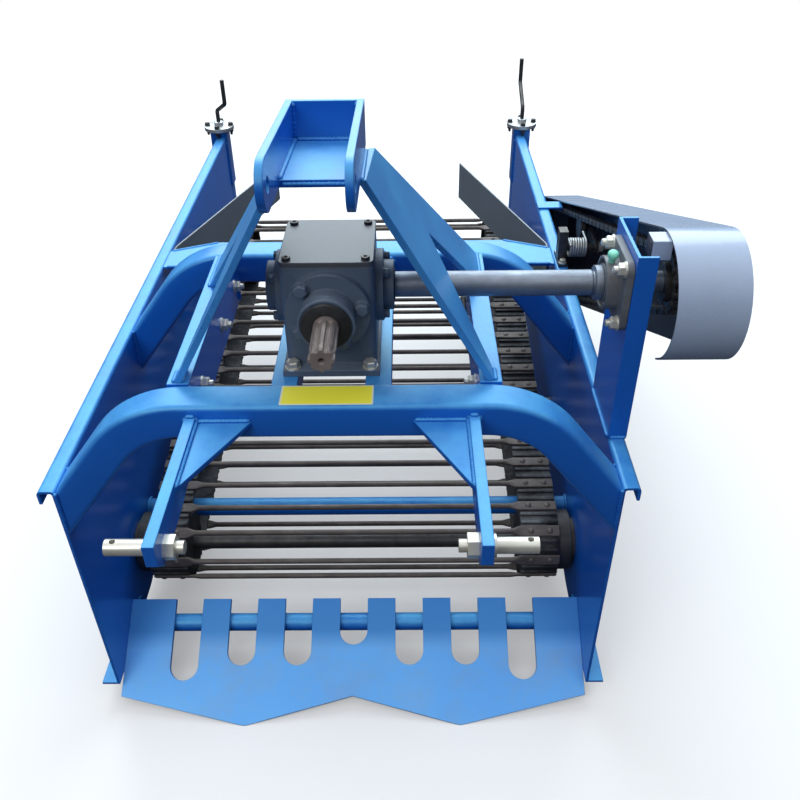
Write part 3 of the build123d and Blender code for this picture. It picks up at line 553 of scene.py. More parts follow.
def painted_shade_along(name, kind, axis, low, high, colour):
    """Paints shade: carries a finish over to another colour along one axis of the surface's place or of its normal."""
    tree = finish(name).node_tree
    vector = add(tree, "TexCoord").outputs["Object"] if kind == "place" else add(tree, "NewGeometry").outputs["Normal"]
    value = add(tree, "SeparateXYZ", {"Vector": vector}).outputs[axis]
    socket = tree.nodes["Principled BSDF"].inputs["Base Color"]
    tree.links.new(mixed_colour(tree, ranged(tree, value, low, high), socket.links[0].from_socket, colour), socket)


def make_materials():
    """Every finish of the machine."""
    colours = bpy.context.scene.lifter_paint
    worn_blue = (0.10, 0.20, 0.33)
    gloss = {"specular": 0.85, "edge": colours.edge_radius, "tint": GLOSS}
    # Painted sky sheen: the blue paint turns pale cyan in broad patches on faces that look up, standing for the light
    # on the tops
    dust_and_sheen_tone = {"dust_and_sheen": 0.84, "dust_and_sheen_tone": (0.10, 0.44, 0.78), "broad": 0.20, "side": 0.0}
    # Painted light: the braces' painted sheen reaches their sides as well
    lit = {**dust_and_sheen_tone, "dust_and_sheen": 0.75, "side": 0.45}
    # The gear case turns a pale blue grey in broad patches on faces that look up
    pale = {"dust_and_sheen": 0.6, "dust_and_sheen_tone": (0.24, 0.27, 0.32), "broad": 0.30, "side": 0.02}
    label = {"dust_and_sheen": 0.05, "wear": 0.2, "peel": 0.3, "edge": 0.0, "variety": 0.1}
    paint("blue_paint", colours.blue, 0.22, worn_blue, wear=0.30, **gloss, **dust_and_sheen_tone)
    # Painted light: a lighter copy of the frame's blue for the braces, standing for the light falling on their faces
    paint("lit_brace_paint", (0.035, 0.19, 0.56), 0.22, worn_blue, wear=0.30, **gloss, **lit)
    rubbed = {**gloss, "specular": 0.60, "dust_and_sheen": 0.35, "wear": 0.9}
    # Painted light: the share's blue is lighter than the frame's, standing for the sky reflected on its slope
    paint("share_paint", (0.12, 0.37, 0.85), 0.30, (0.30, 0.33, 0.36), **rubbed)
    # The weld beads carry the same painted sky sheen as the frame
    bead = {**dust_and_sheen_tone, "specular": 0.7, "edge": 0.0, "tint": GLOSS, "peel": 4.0}
    paint("weld_blue", colours.blue, 0.22, (0.1, 0.17, 0.27), wear=0.2, **bead)
    paint("gear_paint", colours.gear, 0.44, (0.10, 0.11, 0.13), wear=0.25, specular=0.32, peel=5.0, edge=0.0022, **pale)
    paint("label_yellow", colours.label, 0.33, (0.75, 0.6, 0.1), coat=0.6, **label)
    paint("label_cream", (0.80, 0.82, 0.62), 0.33, (0.7, 0.7, 0.5), coat=0.4, **label)
    # Name, colour, roughness, worn colour, dust, wear, coat, specular, peel, edge
    for row in (
        ("cover_paint", (0.075, 0.078, 0.092), 0.42, (0.2, 0.2, 0.22), 0.12, 0.4, 0.0, 0.55, 0.6, 0.0012),
        ("guard_paint", colours.guard, 0.27, (0.45, 0.50, 0.56), 0.12, 0.3, 0.25, 0.5, 0.3, 0.001),
        ("grey_sheet", colours.sheet, 0.38, (0.55, 0.58, 0.62), 0.35, 0.9, 0.0, 0.5, 0.6, 0.0012),
        ("black_rubber", (0.013, 0.013, 0.014), 0.62, (0.10, 0.095, 0.09), 0.6, 0.5, 0.0, 0.35, 6.0, 0.001),
        ("mint_cap", (0.22, 0.66, 0.48), 0.35, (0.3, 0.7, 0.55), 0.1, 0.1, 0.0, 0.5, 0.3, 0.0),
    ):
        paint(*row)
    # Painted shade: the chain guard's faces that look towards the machine's middle darken to near black, standing for
    # the shade inside the guard
    painted_shade_along("guard_paint", "normal", "X", -0.5, -0.8, (0.07, 0.075, 0.085))
    # Painted reflection: behind Y -0.655 m the share's fingers darken to a deeper blue, standing for the dark machine
    # mirrored in them
    painted_shade_along("share_paint", "place", "Y", -0.685, -0.655, (0.05, 0.22, 0.60))
    # Name, colour, other colour, roughness from and to, stretch of the grain, metallic, relief, dust
    for row in (
        ("cast_grey", (0.11, 0.115, 0.12), (0.06, 0.063, 0.068), 0.45, 0.68, (1, 1, 1), 0.55, 0.0006, 0.15),
        ("rod_steel", (0.085, 0.070, 0.062), (0.17, 0.145, 0.13), 0.42, 0.66, (1, 30, 30), 0.35, 0.0003, 0.15),
        ("shaft_steel", (0.31, 0.35, 0.41), (0.20, 0.22, 0.26), 0.42, 0.60, (2, 12, 12), 0.8, 0.0001, 0.15),
        ("spline_steel", (0.30, 0.24, 0.21), (0.44, 0.38, 0.35), 0.36, 0.6, (40, 1, 40), 0.45, 0.0003, 0.15),
        ("bearing_grey", (0.20, 0.21, 0.225), (0.12, 0.125, 0.135), 0.42, 0.62, (1, 1, 1), 0.3, 0.0004, 0.15),
        ("chain_steel", (0.060, 0.058, 0.058), (0.15, 0.14, 0.13), 0.30, 0.55, (1, 1, 1), 0.8, 0.0002, 0.15),
        ("bright_zinc", (0.80, 0.78, 0.71), (0.62, 0.59, 0.48), 0.24, 0.42, (1, 6, 6), 0.6, 0.0001, 0.05),
        ("galvanised", (0.62, 0.64, 0.64), (0.42, 0.44, 0.45), 0.30, 0.52, (1, 1, 1), 0.7, 0.0001, 0.15),
        ("dark_steel", (0.045, 0.045, 0.048), (0.11, 0.105, 0.10), 0.36, 0.6, (1, 1, 1), 0.7, 0.0002, 0.15),
    ):
        steel(*row)


class LIFTER_OT_paint(bpy.types.Operator):
    """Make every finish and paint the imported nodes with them."""

    bl_idname = "lifter.paint"
    bl_label = "Paint the machine"

    def execute(self, context):
        make_groups()
        make_materials()
        for entry in frame["record"]["subparts"]:
            node = frame["nodes"][entry["node"]]
            node.data.materials.clear()
            node.data.materials.append(finish(entry["material_slot"]))
        return {"FINISHED"}


def arch_form(y_middle, corner):
    """A bent square tube: a round cornered outline carried along runs and arcs, its ends cut on the side plates."""
    drop = (INNER_X + TUBE - ARCH_CORNER_X) * math.tan(ARCH_ANGLE)
    middle = ARCH_TOP - TUBE / 2
    points = [(-INNER_X - TUBE, y_middle, middle - drop), (-ARCH_CORNER_X, y_middle, middle)]
    points += [(-x, y, z) for x, y, z in reversed(points)]
    path = rounded_path(points, ARCH_BEND, 14)
    places, faces = carried(path, rounded_outline(TUBE, TUBE, corner, 5), Y_WAY)
    grid = places.reshape(len(path), -1, 3)
    for end, sign in ((0, -1), (-1, 1)):
        run = path[1] - path[0] if end == 0 else path[-1] - path[-2]
        run = run / np.linalg.norm(run)
        reach = (sign * INNER_X - grid[end][:, 0]) / run[0]
        grid[end] += reach[:, None] * run
    return grid.reshape(-1, 3), faces


class LIFTER_OT_tubes(bpy.types.Operator):
    """Bend the two arches from square tube and round off the hitch, the brackets, the side plates, the share and the
    cover.
    """

    bl_idname = "lifter.tubes"
    bl_label = "Arches and rails"

    def execute(self, context):
        corner = context.scene.lifter_sizes.tube_corner / MM
        for name, front in (("front_arch", 0.0), ("rear_arch", REAR_ARCH_Y)):
            piece(name + "_tube", arch_form(front + TUBE / 2, corner), "blue_paint", stands_for=[name])
        for node in ("hitch_box", "lower_bracket_right", "lower_bracket_left", "side_plate_right", "side_plate_left"):
            refined(node, "blue_paint", edge=0.7)
        refined("share_blade", "share_paint", edge=0.6)
        refined("gearbox_cover", "cover_paint")
        return {"FINISHED"}


def piped(path, radius, hint, sides, along=False):
    """A round wire along a path: place = path + radius * (cos a * side + sin a * up), side = hint x way."""
    path = np.asarray(path, float)
    way = tangents(path, along)
    side = np.cross(hint, way)
    side /= np.linalg.norm(side, axis=1, keepdims=True)
    up = np.cross(way, side)
    angle = full_turn(sides)
    ring = np.cos(angle)[None, :, None] * side[:, None] + np.sin(angle)[None, :, None] * up[:, None]
    size = np.broadcast_to(np.asarray(radius, float), len(path))
    return skin(path[:, None] + size[:, None, None] * ring, along=along)


def loop_line(front, front_radius, rear, rear_radius, shares):
    """Places and leans round two wheels: two straight runs and two arcs, at shares of the length from the front top."""
    run = rear - front
    reach = math.hypot(*run)
    slope = math.atan2(run[1], run[0])
    spread = math.asin((rear_radius - front_radius) / reach)
    straight = math.sqrt(reach**2 - (rear_radius - front_radius) ** 2)
    parts = np.cumsum([straight, rear_radius * (np.pi + 2 * spread), straight, front_radius * (np.pi - 2 * spread)])
    far = np.asarray(shares, float) % 1 * parts[3]
    part = np.searchsorted(parts, far, side="right").clip(0, 3)
    past = far - np.concatenate([[0.0], parts])[part]
    lean = np.choose(part, [
        slope + spread + 0 * past,
        slope + spread - past / rear_radius,
        slope - spread - np.pi + 0 * past,
        slope - spread - np.pi - past / front_radius,
    ])
    on_rear = (part == 1) | (part == 2)
    centre = np.where(on_rear[:, None], rear, front)
    radius = np.where(on_rear, rear_radius, front_radius)
    slide = np.where(part % 2 == 0, past, 0)
    out = np.stack([-np.sin(lean), np.cos(lean)], axis=1)
    onward = np.stack([np.cos(lean), np.sin(lean)], axis=1)
    return centre + radius[:, None] * out + slide[:, None] * onward, lean, parts[3]


def on_web(shares):
    """Moves and turns for things that sit on the rods' line."""
    places, leans, _ = loop_line(WEB_FRONT, WEB_RADII[0] + ROD_LINE, WEB_REAR, WEB_RADII[1] + ROD_LINE, shares)
    return tilted(leans), np.column_stack([np.zeros(len(leans)), places])


def rod_form():
    """One rod: its section turns from a circle to a flat bar, mixed by a smooth step over X, with pressed rivets."""
    round_to, flat_from = 318, 338
    # Half of the rod, from its middle to its end
    half = np.array([0, 120, 240, round_to, 322, 326, 330, 334, flat_from, 345, 411.5, 413.4, 414])
    x = np.concatenate([-half[:0:-1], half])
    share = np.clip((np.abs(x) - round_to) / (flat_from - round_to), 0, 1)
    share = (share**2 * (3 - 2 * share))[:, None]
    angle = full_turn(20)
    cos, sin = np.cos(angle), np.sin(angle)
    round_y, round_z = 5.5 * cos, 5.5 * sin
    flat_y = 11 * np.sign(cos) * np.abs(cos) ** 0.3
    flat_z = 2.85 * np.sign(sin) * np.abs(sin) ** 0.4
    y = (1 - share) * round_y + share * flat_y
    z = (1 - share) * round_z + share * flat_z
    end = np.where(np.abs(x) > 413.9, 0.7, 1.0)[:, None]
    grid = np.stack([np.broadcast_to(x[:, None], y.shape), y * end, z * end], axis=-1)
    rivet = turned((0, 0, 2.6), Z_WAY, [(0, 0), (0, 6.2), (1.6, 5.4), (2.9, 3.0), (3.2, 0)], 0.3, 12)
    spots = [(x, 0, 0) for x in (-395, -357, 357, 395)]
    return joined([skin(grid), repeated(rivet, np.repeat(np.eye(3)[None], 4, axis=0), spots)])


def belt_rib():
    """One cross rib of a belt."""
    return brick((-37.5, -4, -3.4), (37.5, 4, 2.0), 1.2, 2.0)


class LIFTER_OT_web(bpy.types.Operator):
    """Lay the rods and ribbed belts of the web round their wheels."""

    bl_idname = "lifter.web"
    bl_label = "Rod web"

    def execute(self, context):
        sizes = context.scene.lifter_sizes
        shares = (np.arange(sizes.rod_count) + 0.5) / sizes.rod_count
        turns, moves = on_web(shares)
        piece("web_rods_forged", repeated(rod_form(), turns, moves), "rod_steel", stands_for=["web_rods"], smooth=40)
        middle = sum(BELT_X) / 2
        line, _, _ = loop_line(WEB_FRONT, WEB_RADII[0] + 4, WEB_REAR, WEB_RADII[1] + 4, np.arange(220) / 220)
        profile = rounded_outline(7.9, BELT_X[1] - BELT_X[0], 2.0, 3)
        forms = []
        for side in (-1, 1):
            path = np.column_stack([np.full(len(line), side * middle), line])
            forms.append(carried(path, profile, X_WAY, along=True))
            for rib in range(sizes.belt_ribs):
                spots = shares + (rib + 1) / (sizes.belt_ribs + 1) / sizes.rod_count
                turns, moves = on_web(spots)
                forms.append(repeated(belt_rib(), turns, moves + side * middle * X_WAY))
        piece("web_belts_moulded", joined(forms), "black_rubber", stands_for=["web_belts"], smooth=40)
        refined("front_rollers", "dark_steel")
        refined("web_shaft", "dark_steel")
        refined("shaft_flanges", "rod_steel")
        return {"FINISHED"}


def link_plate(pitch, thick):
    """A waisted link plate seen along X: radius 7.2 round each pin, narrowed between them by a cosine."""
    y = np.linspace(-pitch / 2, pitch / 2, 7)
    waist = 6.9 - 1.7 * np.cos(np.pi * y / pitch)
    turn = np.linspace(-np.pi / 2, np.pi / 2, 7)[1:-1]
    back = np.column_stack([pitch / 2 + 6.9 * np.cos(turn), 6.9 * np.sin(turn)])
    outline = np.concatenate([np.column_stack([y, -waist]), back, np.column_stack([y[::-1], waist]), -back])
    return slab(np.column_stack([np.zeros(len(outline)), outline]), X_WAY, -thick / 2, thick / 2)


class LIFTER_OT_drive(bpy.types.Operator):
    """Link up the roller chain and finish its wheels, guard, tensioner and spring."""

    bl_idname = "lifter.drive"
    bl_label = "Chain drive"

    def execute(self, context):
        pitch = context.scene.lifter_sizes.chain_pitch / MM
        small, large = (pitch / math.sin(math.pi / teeth) / 2 for teeth in (15, 45))
        gear = np.array([GEAR_Y, GEAR_Z])
        _, _, length = loop_line(gear, small, WEB_REAR, large, [0.0])
        count = 2 * round(length / pitch / 2)
        pins, _, _ = loop_line(gear, small, WEB_REAR, large, (np.arange(count) + 0.5) / count)
        ahead = np.roll(pins, -1, axis=0)
        leans_on = np.arctan2(*(ahead - pins).T[::-1])
        middles = np.column_stack([np.full(count, CHAIN_X), (pins + ahead) / 2])
        plate = link_plate(pitch * 0.97, 2.4)
        turns = tilted(leans_on)
        forms = []
        for start, out in ((0, 7.3), (1, 9.9)):
            for side in (-1, 1):
                forms.append(repeated(plate, turns[start::2], middles[start::2] + side * out * X_WAY))
        spots = np.column_stack([np.full(count, CHAIN_X), pins])
        still = np.repeat(np.eye(3)[None], count, axis=0)
        forms.append(repeated(bar((-5.9, 0, 0), X_WAY, 11.8, 6.0, 0.8, 10), still, spots))
        forms.append(repeated(bar((-11.9, 0, 0), X_WAY, 23.8, 2.9, 0.6, 8), still, spots))
        piece("drive_chain_links", joined(forms), "chain_steel", stands_for=["drive_chain"], smooth=40)
        for node in ("drive_sprocket", "driven_sprocket", "tensioner_arm"):
            refined(node, "chain_steel", edge=0.5)
        refined("chain_guard", "guard_paint", edge=0.5)
        refined("guard_bracket", "guard_paint", edge=1.0)
        self.spring()
        return {"FINISHED"}

    def spring(self):
        """The coil: X rises evenly with the turn a, Y and Z = radius * (sin a, cos a), with a leg at each end."""
        turns = 7
        start, radius, wire = 476.0, 19.2, 2.75
        angle = np.linspace(0, 2 * np.pi * turns, 28 * turns + 1)
        x = start + wire + 5.6 * angle / (2 * np.pi)
        y, z = TENSION[0] + radius * np.sin(angle), TENSION[1] + radius * np.cos(angle)
        coil = np.column_stack([x, y, z])
        lead = coil[0] - np.array([0, 1, 0]) * np.linspace(34, 1, 8)[:, None]
        trail = coil[-1] + np.array([0, 1, 0]) * np.linspace(1, 40, 8)[:, None]
        form = piped(np.concatenate([lead, coil, trail]), wire, X_WAY, 10)
        piece("tensioner_coil", form, "galvanised", stands_for=["tensioner_spring"], smooth=60)


class LIFTER_OT_gear(bpy.types.Operator):
    """Machine the gear case, its hubs and seals, the splined stub and the cross shaft."""

    bl_idname = "lifter.gear"
    bl_label = "Gear case and shafts"

    def execute(self, context):
        refined("gearbox_housing", "gear_paint", edge=1.6, smooth=28)
        self.covers()
        self.stub()
        refined("output_shaft", "shaft_steel", edge=1.2)
        refined("bearing_housing", "bearing_grey", edge=1.2)
        self.post()
        return {"FINISHED"}

    def post(self):
        """The bearing's post: a channel of 5 mm sheet, open at its top and towards the guard."""
        near, web, far = 450, 455, 481
        front, rear = 126, 268
        rows = [
            (near, front), (far, front), (far, front + 5), (web, front + 5),
            (web, rear - 5), (far, rear - 5), (far, rear), (near, rear),
        ]
        channel = slab([(x, y, 0) for x, y in rows], Z_WAY, 555, 892)
        piece("post_channel", channel, "blue_paint", stands_for=["bearing_post"], smooth=20)

    def covers(self):
        """The lips and seals at the hubs, turned about their shafts."""
        tip = (CASE_X, CASE_FRONT - 48, GEAR_Z)
        lip = [(-1.4, 42), (-1.4, 38.5), (3, 37), (8, 42.4), (2, 43.2), (-0.2, 43)]
        seal = [(0.8, 37), (0.8, 30), (-0.6, 28), (-0.6, 24), (1.2, 22.5), (1.2, 20), (6, 20), (6, 37)]
        piece("input_lip", turned(tip, Y_WAY, lip, 0.4, 72, closed=True), "gear_paint")
        piece("input_seal", turned(tip, -Y_WAY, [(a - 0.4, b) for a, b in seal], 0.4, 72, closed=True), "black_rubber")
        rings = []
        for out in (36.6, 31.0):
            rows = [(-0.6, out), (1.0, out - 0.4), (1.0, out - 1.8), (-0.6, out - 2.2)]
            rings.append(turned(tip, -Y_WAY, rows, 0.3, 72, closed=True))
        piece("seal_rings", joined(rings), "gear_paint")
        side = (CASE_X + CASE_HALF + 28, GEAR_Y, GEAR_Z)
        ring = [(-6, 26), (0.8, 26), (1.6, 24), (1.6, 20.6), (-6, 20.6)]
        piece("output_seal", turned(side, X_WAY, ring, 0.4, 60, closed=True), "black_rubber")
        cap = [(0, 0), (1.4, 0), (2.0, 8), (0.8, 30), (0, 31), (-2, 31), (-2, 0)]
        piece("blind_cap", turned((CASE_X - CASE_HALF - 28, GEAR_Y, GEAR_Z), -X_WAY, cap, 0.3, 60), "gear_paint")

    def stub(self):
        """The splined stub: radius = root + step * a flattened cosine of the angle, with a centre hole and a groove."""
        y = np.array([14, 14, 4, 0, 0, 2, 14, 17, 21, 24, 76, 80, 81])
        centre = np.array([0, 3.2, 3.4, 5.2, 0, 0, 0, 0, 0, 0, 0, 0, 0])
        share = np.array([0, 0, 0, 0, 0.94, 1, 1, 1, 1, 1, 1, 1, 1])
        groove = np.array([0, 0, 0, 0, 0, 0, 0, 1, 1, 0, 0, 0, 0])
        angle = full_turn(128)
        wave = np.clip(np.cos(8 * angle) * 2.4 + 0.1, -1, 1) * 0.5 + 0.5
        radius = 16.0 + 3.0 * wave
        grid_r = centre[:, None] + share[:, None] * (radius[None] - 1.6 * groove[:, None])
        grid = np.stack([
            CASE_X + grid_r * np.cos(angle), np.broadcast_to((INPUT_TIP + y)[:, None], grid_r.shape),
            GEAR_Z + grid_r * np.sin(angle),
        ], axis=-1)
        neck = turned((CASE_X, INPUT_TIP + 79, GEAR_Z), Y_WAY, [(0, 15), (0, 19), (80, 19), (80, 0)], 0.4, 48)
        form = joined([skin(grid, ends=False), neck])
        piece("input_splines", form, "spline_steel", "input_shaft", ["input_shaft"], smooth=30)


class LIFTER_OT_bars(bpy.types.Operator):
    """Round off the pins, bars, jacks, cranks and depth wheels."""

    bl_idname = "lifter.bars"
    bl_label = "Pins, bars and wheels"

    def execute(self, context):
        for side in ("right", "left"):
            refined("lower_pin_" + side, "bright_zinc", edge=0.9)
            refined("jack_tube_" + side, "blue_paint")
            refined("crank_" + side, "dark_steel", edge=0.6, smooth=50)
            refined("wheel_leg_" + side, "blue_paint", body="leg_" + side)
            refined("depth_wheel_" + side, "blue_paint", body="wheel_" + side, edge=1.0)
            refined("deflector_" + side, "grey_sheet", edge=0.4)
            refined("member_" + side, "blue_paint", edge=0.7)
            # The braces take the lighter copy of the blue paint, a painted light
            refined("brace_" + side, "lit_brace_paint", edge=0.7)
        for node in ("share_bar", "cross_tube", "cross_plate", "gearbox_rails", "guard_stay"):
            refined(node, "blue_paint")
        refined("support_rollers", "rod_steel")
        return {"FINISHED"}


def hex_bolt(flats, height, tip=0.0):
    """A washer, a six sided head with a turned chamfer and, for a nut, the screw's end."""
    radius, rim, shank, end = flats / math.sqrt(3), flats * 0.66, flats * 0.31, height + tip
    head = [(0, 0), (0, radius), (height * 0.8, radius), (height, radius * 0.84), (height, 0)]
    forms = [
        turned((0, 0, 0), Z_WAY, [(-1, 0), (-1, rim), (2.2, rim), (2.2, 0)], 0.5, 24),
        turned((0, 0, 2.1), Z_WAY, head, 0.3, 6),
    ]
    if tip:
        rows = [(0, 0), (0, shank), (end - 1.2, shank), (end, flats * 0.22), (end, 0)]
        forms.append(turned((0, 0, 2.1), Z_WAY, rows, 0.2, 16))
    return joined(forms)


def round_screw(radius, height):
    """A low round head with a six sided socket: two turned forms, one of them six sided."""
    head = [(-1, 0), (-1, radius), (height - 0.8, radius), (height, radius * 0.86), (height, radius * 0.5)]
    socket = [(height, radius * 0.52), (height * 0.3, radius * 0.5), (height * 0.3, 0)]
    return joined([turned((0, 0, 0), Z_WAY, head, 0.4, 24), turned((0, 0, 0), Z_WAY, socket, 0.1, 6)])


def ring_of(centre, way, radius, angles):
    """Places on a circle square to a way: centre + radius * (cos a * side + sin a * up)."""
    side, up = cross_ways(way)
    angles = np.radians(np.asarray(angles, float))[:, None]
    return np.asarray(centre) + radius * (np.cos(angles) * side + np.sin(angles) * up)


def sown(form, spots, way):
    """A form set at places along one way, turned a little about it."""
    return repeated(form, np.repeat(facing(way, BOLT_TURN), len(spots), axis=0), spots)


def on_both(form, spots, way):
    """A form set at places on the right and mirrored to the left."""
    return [sown(form, spots, way), sown(form, np.asarray(spots, float) * (-1, 1, 1), -way)]


class LIFTER_OT_fasteners(bpy.types.Operator):
    """Set every bolt, nut and nipple."""

    bl_idname = "lifter.fasteners"
    bl_label = "Bolts and nuts"

    def execute(self, context):
        big, small, nut = hex_bolt(19, 10), hex_bolt(13, 7), hex_bolt(19, 10, 7)
        face_y = CASE_FRONT - 14
        disc_x = CASE_HALF + 12
        cast = [sown(big, [(-43, face_y, 861), (45.6, face_y, 830), (-49, face_y, 790), (15, face_y, 771)], -Y_WAY)]
        for side in (-1, 1):
            rim = ring_of((CASE_X + side * disc_x, GEAR_Y, GEAR_Z), side * X_WAY, 47.5, (40, 130, 220, 310))
            cast.append(sown(small, rim, side * X_WAY))
        piece("case_bolts", joined(cast), "gear_paint", smooth=28)
        lid = [(CASE_X + dx, y, CASE_TOP + 8) for dx in (-58, 58) for y in (CASE_FRONT + 12, CASE_BACK - 14)]
        plug = [(CASE_X + 30, CASE_BACK - 0.5, 850)]
        dark = [sown(round_screw(6.5, 4.5), lid, Z_WAY), sown(hex_bolt(22, 9), plug, Y_WAY), *self.disc_bolts()]
        piece("dark_bolts", joined(dark), "dark_steel", smooth=28)
        piece("zinc_bolts", joined(self.zinc_bolts(big, small, nut)), "bright_zinc", smooth=28)
        rows = [(-2, 0), (-2, 5.5), (7, 5.5), (8, 8), (15, 8.4), (18, 6), (19, 0)]
        cap = turned((425, 178, 861), (0, -0.25, 0.97), rows, 1.2, 28)
        piece("nipple_cap", cap, "mint_cap")
        return {"FINISHED"}

    def zinc_bolts(self, big, small, nut):
        """The bright bolts and nuts of the foot, bearing, members, plates, axles and tensioner."""
        foot = [(CASE_X + dx, y, RAIL_TOP + 11) for dx in (-60, 60) for y in (CASE_FRONT - 11, CASE_BACK + 11)]
        corners = [(438, GEAR_Y + dy, GEAR_Z + dz) for dy in (-46, 46) for dz in (-46, 46)]
        flanges = [
            (441, y + dy, z + dz) for y, z in (WEB_FRONT, WEB_REAR) for dy, dz in ((-34, 0), (34, 0), (0, -34), (0, 34))
        ]
        return [
            sown(big, foot, Z_WAY),
            sown(nut, corners, -X_WAY),
            sown(big, [(OUTER_X, y, z) for _, y, z in corners], X_WAY),
            *on_both(nut, [(222, y, 670) for y in (132, 314, 455)], -X_WAY),
            *on_both(small, flanges, -X_WAY),
            *on_both(nut, [(OUTER_X, y, z) for _, y, z in flanges[:4]], X_WAY),
            *on_both(nut, [(OUTER_X, 628, 261), (OUTER_X, 973, 312)], X_WAY),
            *on_both(small, [(446, 848, z) for z in (468, 520)], -X_WAY),
            sown(small, [(465, TENSION[0] + dy, 563) for dy in (-27, 27)], Z_WAY),
            sown(nut, [(547, *TENSION)], X_WAY),
        ]

    def disc_bolts(self):
        """Four bolts through each jack's disc, their ends pointing down."""
        for side in (-1, 1):
            rim = ring_of((side * JACK_X, JACK_Y, JACK_TOP + 10), Z_WAY, 36, (0, 90, 180, 270))
            yield sown(hex_bolt(13, 7), rim, Z_WAY)
            yield sown(hex_bolt(13, 8, 9), rim - 10 * Z_WAY, -Z_WAY)


def bead(start, end, size, seed):
    """A weld bead: a wire whose radius swells by |sin| with each ripple and wanders a little."""
    start, end = np.asarray(start, float), np.asarray(end, float)
    length = np.linalg.norm(end - start)
    count = max(6, int(length / 1.6))
    share = np.linspace(0, 1, count)
    hint = cross_ways((end - start) / length)[0]
    noise = np.random.default_rng(seed).normal(0, 0.12, (count, 3))
    path = start + share[:, None] * (end - start) + noise * 0.8
    ripple = np.abs(np.sin(share * length * np.pi / 6.2))
    taper = np.minimum(1, np.minimum(share, 1 - share) * length / 5 + 0.35)
    return piped(path, size * (0.84 + 0.26 * ripple) * taper, hint, 7)


def weld_lines():
    """Where the beads run, in pairs of ends; those wholly on the right are mirrored to the left."""
    gap = 1.2
    lines = [((x, -gap, 662), (x, -gap, 702)) for x in (201, 219)]
    lines += [((201, -2, 695.5), (201, -146, 695.5)), ((200, -gap, 695.5), (122, -gap, 695.5))]
    lines.append(((203, -gap, 704), (217, -gap, 704)))
    for y in (61, 484):
        lines += [((221, y, 624), (221, y, 716)), ((231, y, 624), (231, y, 708)), ((232, y, 711), (254, y, 711))]
        for middle in (-78, 67):
            lines += [((x, y, 673), (x, y, 709)) for x in (middle - 21, middle + 21)]
            lines.append(((middle - 18, y, 712), (middle + 18, y, 712)))
    for low, high in ((63, 97), (362, 484)):
        lines += [((x, low, 721), (x, high, 721)) for x in (232, 246)]
    for y in (-gap, 61.2, REAR_ARCH_Y - gap, REAR_ARCH_Y + 61.2):
        lines.append(((449, y, 473), (449, y, 553)))
    lines += [((x, 1609, 402), (x, 1609, 540)) for x in (449, 456)]
    lines += [((-440, 756, 556), (440, 756, 556)), ((342, 880, 554), (446, 837, 554))]
    return lines


class LIFTER_OT_welds(bpy.types.Operator):
    """Lay the weld beads along the seams of the frame."""

    bl_idname = "lifter.welds"
    bl_label = "Weld beads"

    def execute(self, context):
        size = context.scene.lifter_sizes.weld_size / MM
        forms = []
        for index, (start, end) in enumerate(weld_lines()):
            forms.append(bead(start, end, size, seed=index))
            if min(start[0], end[0]) > 100:
                flip = np.array([-1, 1, 1])
                forms.append(bead(flip * start, flip * end, size, seed=index + 100))
        forms += self.hitch_beads(size)
        foot = (((449, 128), (449, 266)), ((452, 125), (480, 125)), ((452, 269), (480, 269)))
        forms += [bead((*start, 556.2), (*end, 556.2), size, seed=200 + start[1]) for start, end in foot]
        angle = full_turn(60)
        cos, sin = np.cos(angle), np.sin(angle)
        swell = 0.85 + 0.2 * np.abs(np.sin(angle * 12))
        # Rings round the ends of the cross tube and of the share's bar
        for side in (-1, 1):
            for y, z, radius in ((352, 184, 20), (169.0, 75.5, 18.5)):
                ring = np.column_stack([np.full(60, side * 448.6), y + radius * cos, z + radius * sin])
                forms.append(piped(ring, size * swell, X_WAY, 6, along=True))
        piece("weld_beads", joined(forms), "weld_blue", smooth=60)
        return {"FINISHED"}

    def hitch_beads(self, size):
        """Beads inside the hitch's box and along the braces' heads, leaning with it."""
        lean = math.radians(HITCH_TILT)
        turn = tilted([-lean])[0]
        corner = np.array([0, HITCH_FRONT, HITCH_TOP])
        lines = []
        for side in (-1, 1):
            lines.append(((side * 44, 120, -53), (side * 44, 299, -53)))
            lines.append(((side * 44, 299.5, -52), (side * 44, 299.5, -2)))
            lines.append(((side * 56, 146, -64.5), (side * 56, 284, -64.5)))
        lines.append(((-42, 299, -53), (42, 299, -53)))
        lines.append(((-42, 118, -60), (42, 118, -60)))
        return [bead(turn @ start + corner, turn @ end + corner, size, seed=n) for n, (start, end) in enumerate(lines)]


class LIFTER_OT_trim(bpy.types.Operator):
    """Lay the blank label, the grease pipe and the pale discs."""

    bl_idname = "lifter.trim"
    bl_label = "Label and pipe"

    def execute(self, context):
        border = brick((-78, 5, 719.6), (61, 53, 720.4), 0.15, 2.5)
        field = brick((-75.5, 7.5, 719.6), (58.5, 50.5, 720.6), 0.05, 1.5)
        piece("label_border", border, "label_cream")
        piece("blank_label", field, "label_yellow")
        points = [(230, 120, 716), (214, 170, 700), (214, 300, 690), (214, 400, 700), (232, 470, 716)]
        pipe = piped(rounded_path(points, 40, 8), 4.0, X_WAY, 12)
        clips = [brick((209, y - 5, z - 6), (222.4, y + 5, z + 6), 0.6, 1.5) for y, z in ((200, 696), (360, 694))]
        piece("grease_pipe", pipe, "black_rubber", smooth=60)
        piece("pipe_clips", joined(clips), "bright_zinc")
        tops = [(side * JACK_X, JACK_Y, JACK_TOP) for side in (-1, 1)]
        disc = [(-0.4, 27), (-0.4, 45.2), (10.5, 45.2), (10.5, 7)]
        nut = [(10, 7), (10, 14), (21, 14), (22, 10), (22, 6.5)]
        discs = [turned(top, Z_WAY, disc, 0.8, 64) for top in tops] + [turned(top, Z_WAY, nut, 0.6, 32) for top in tops]
        piece("jack_discs", joined(discs), "galvanised")
        return {"FINISHED"}


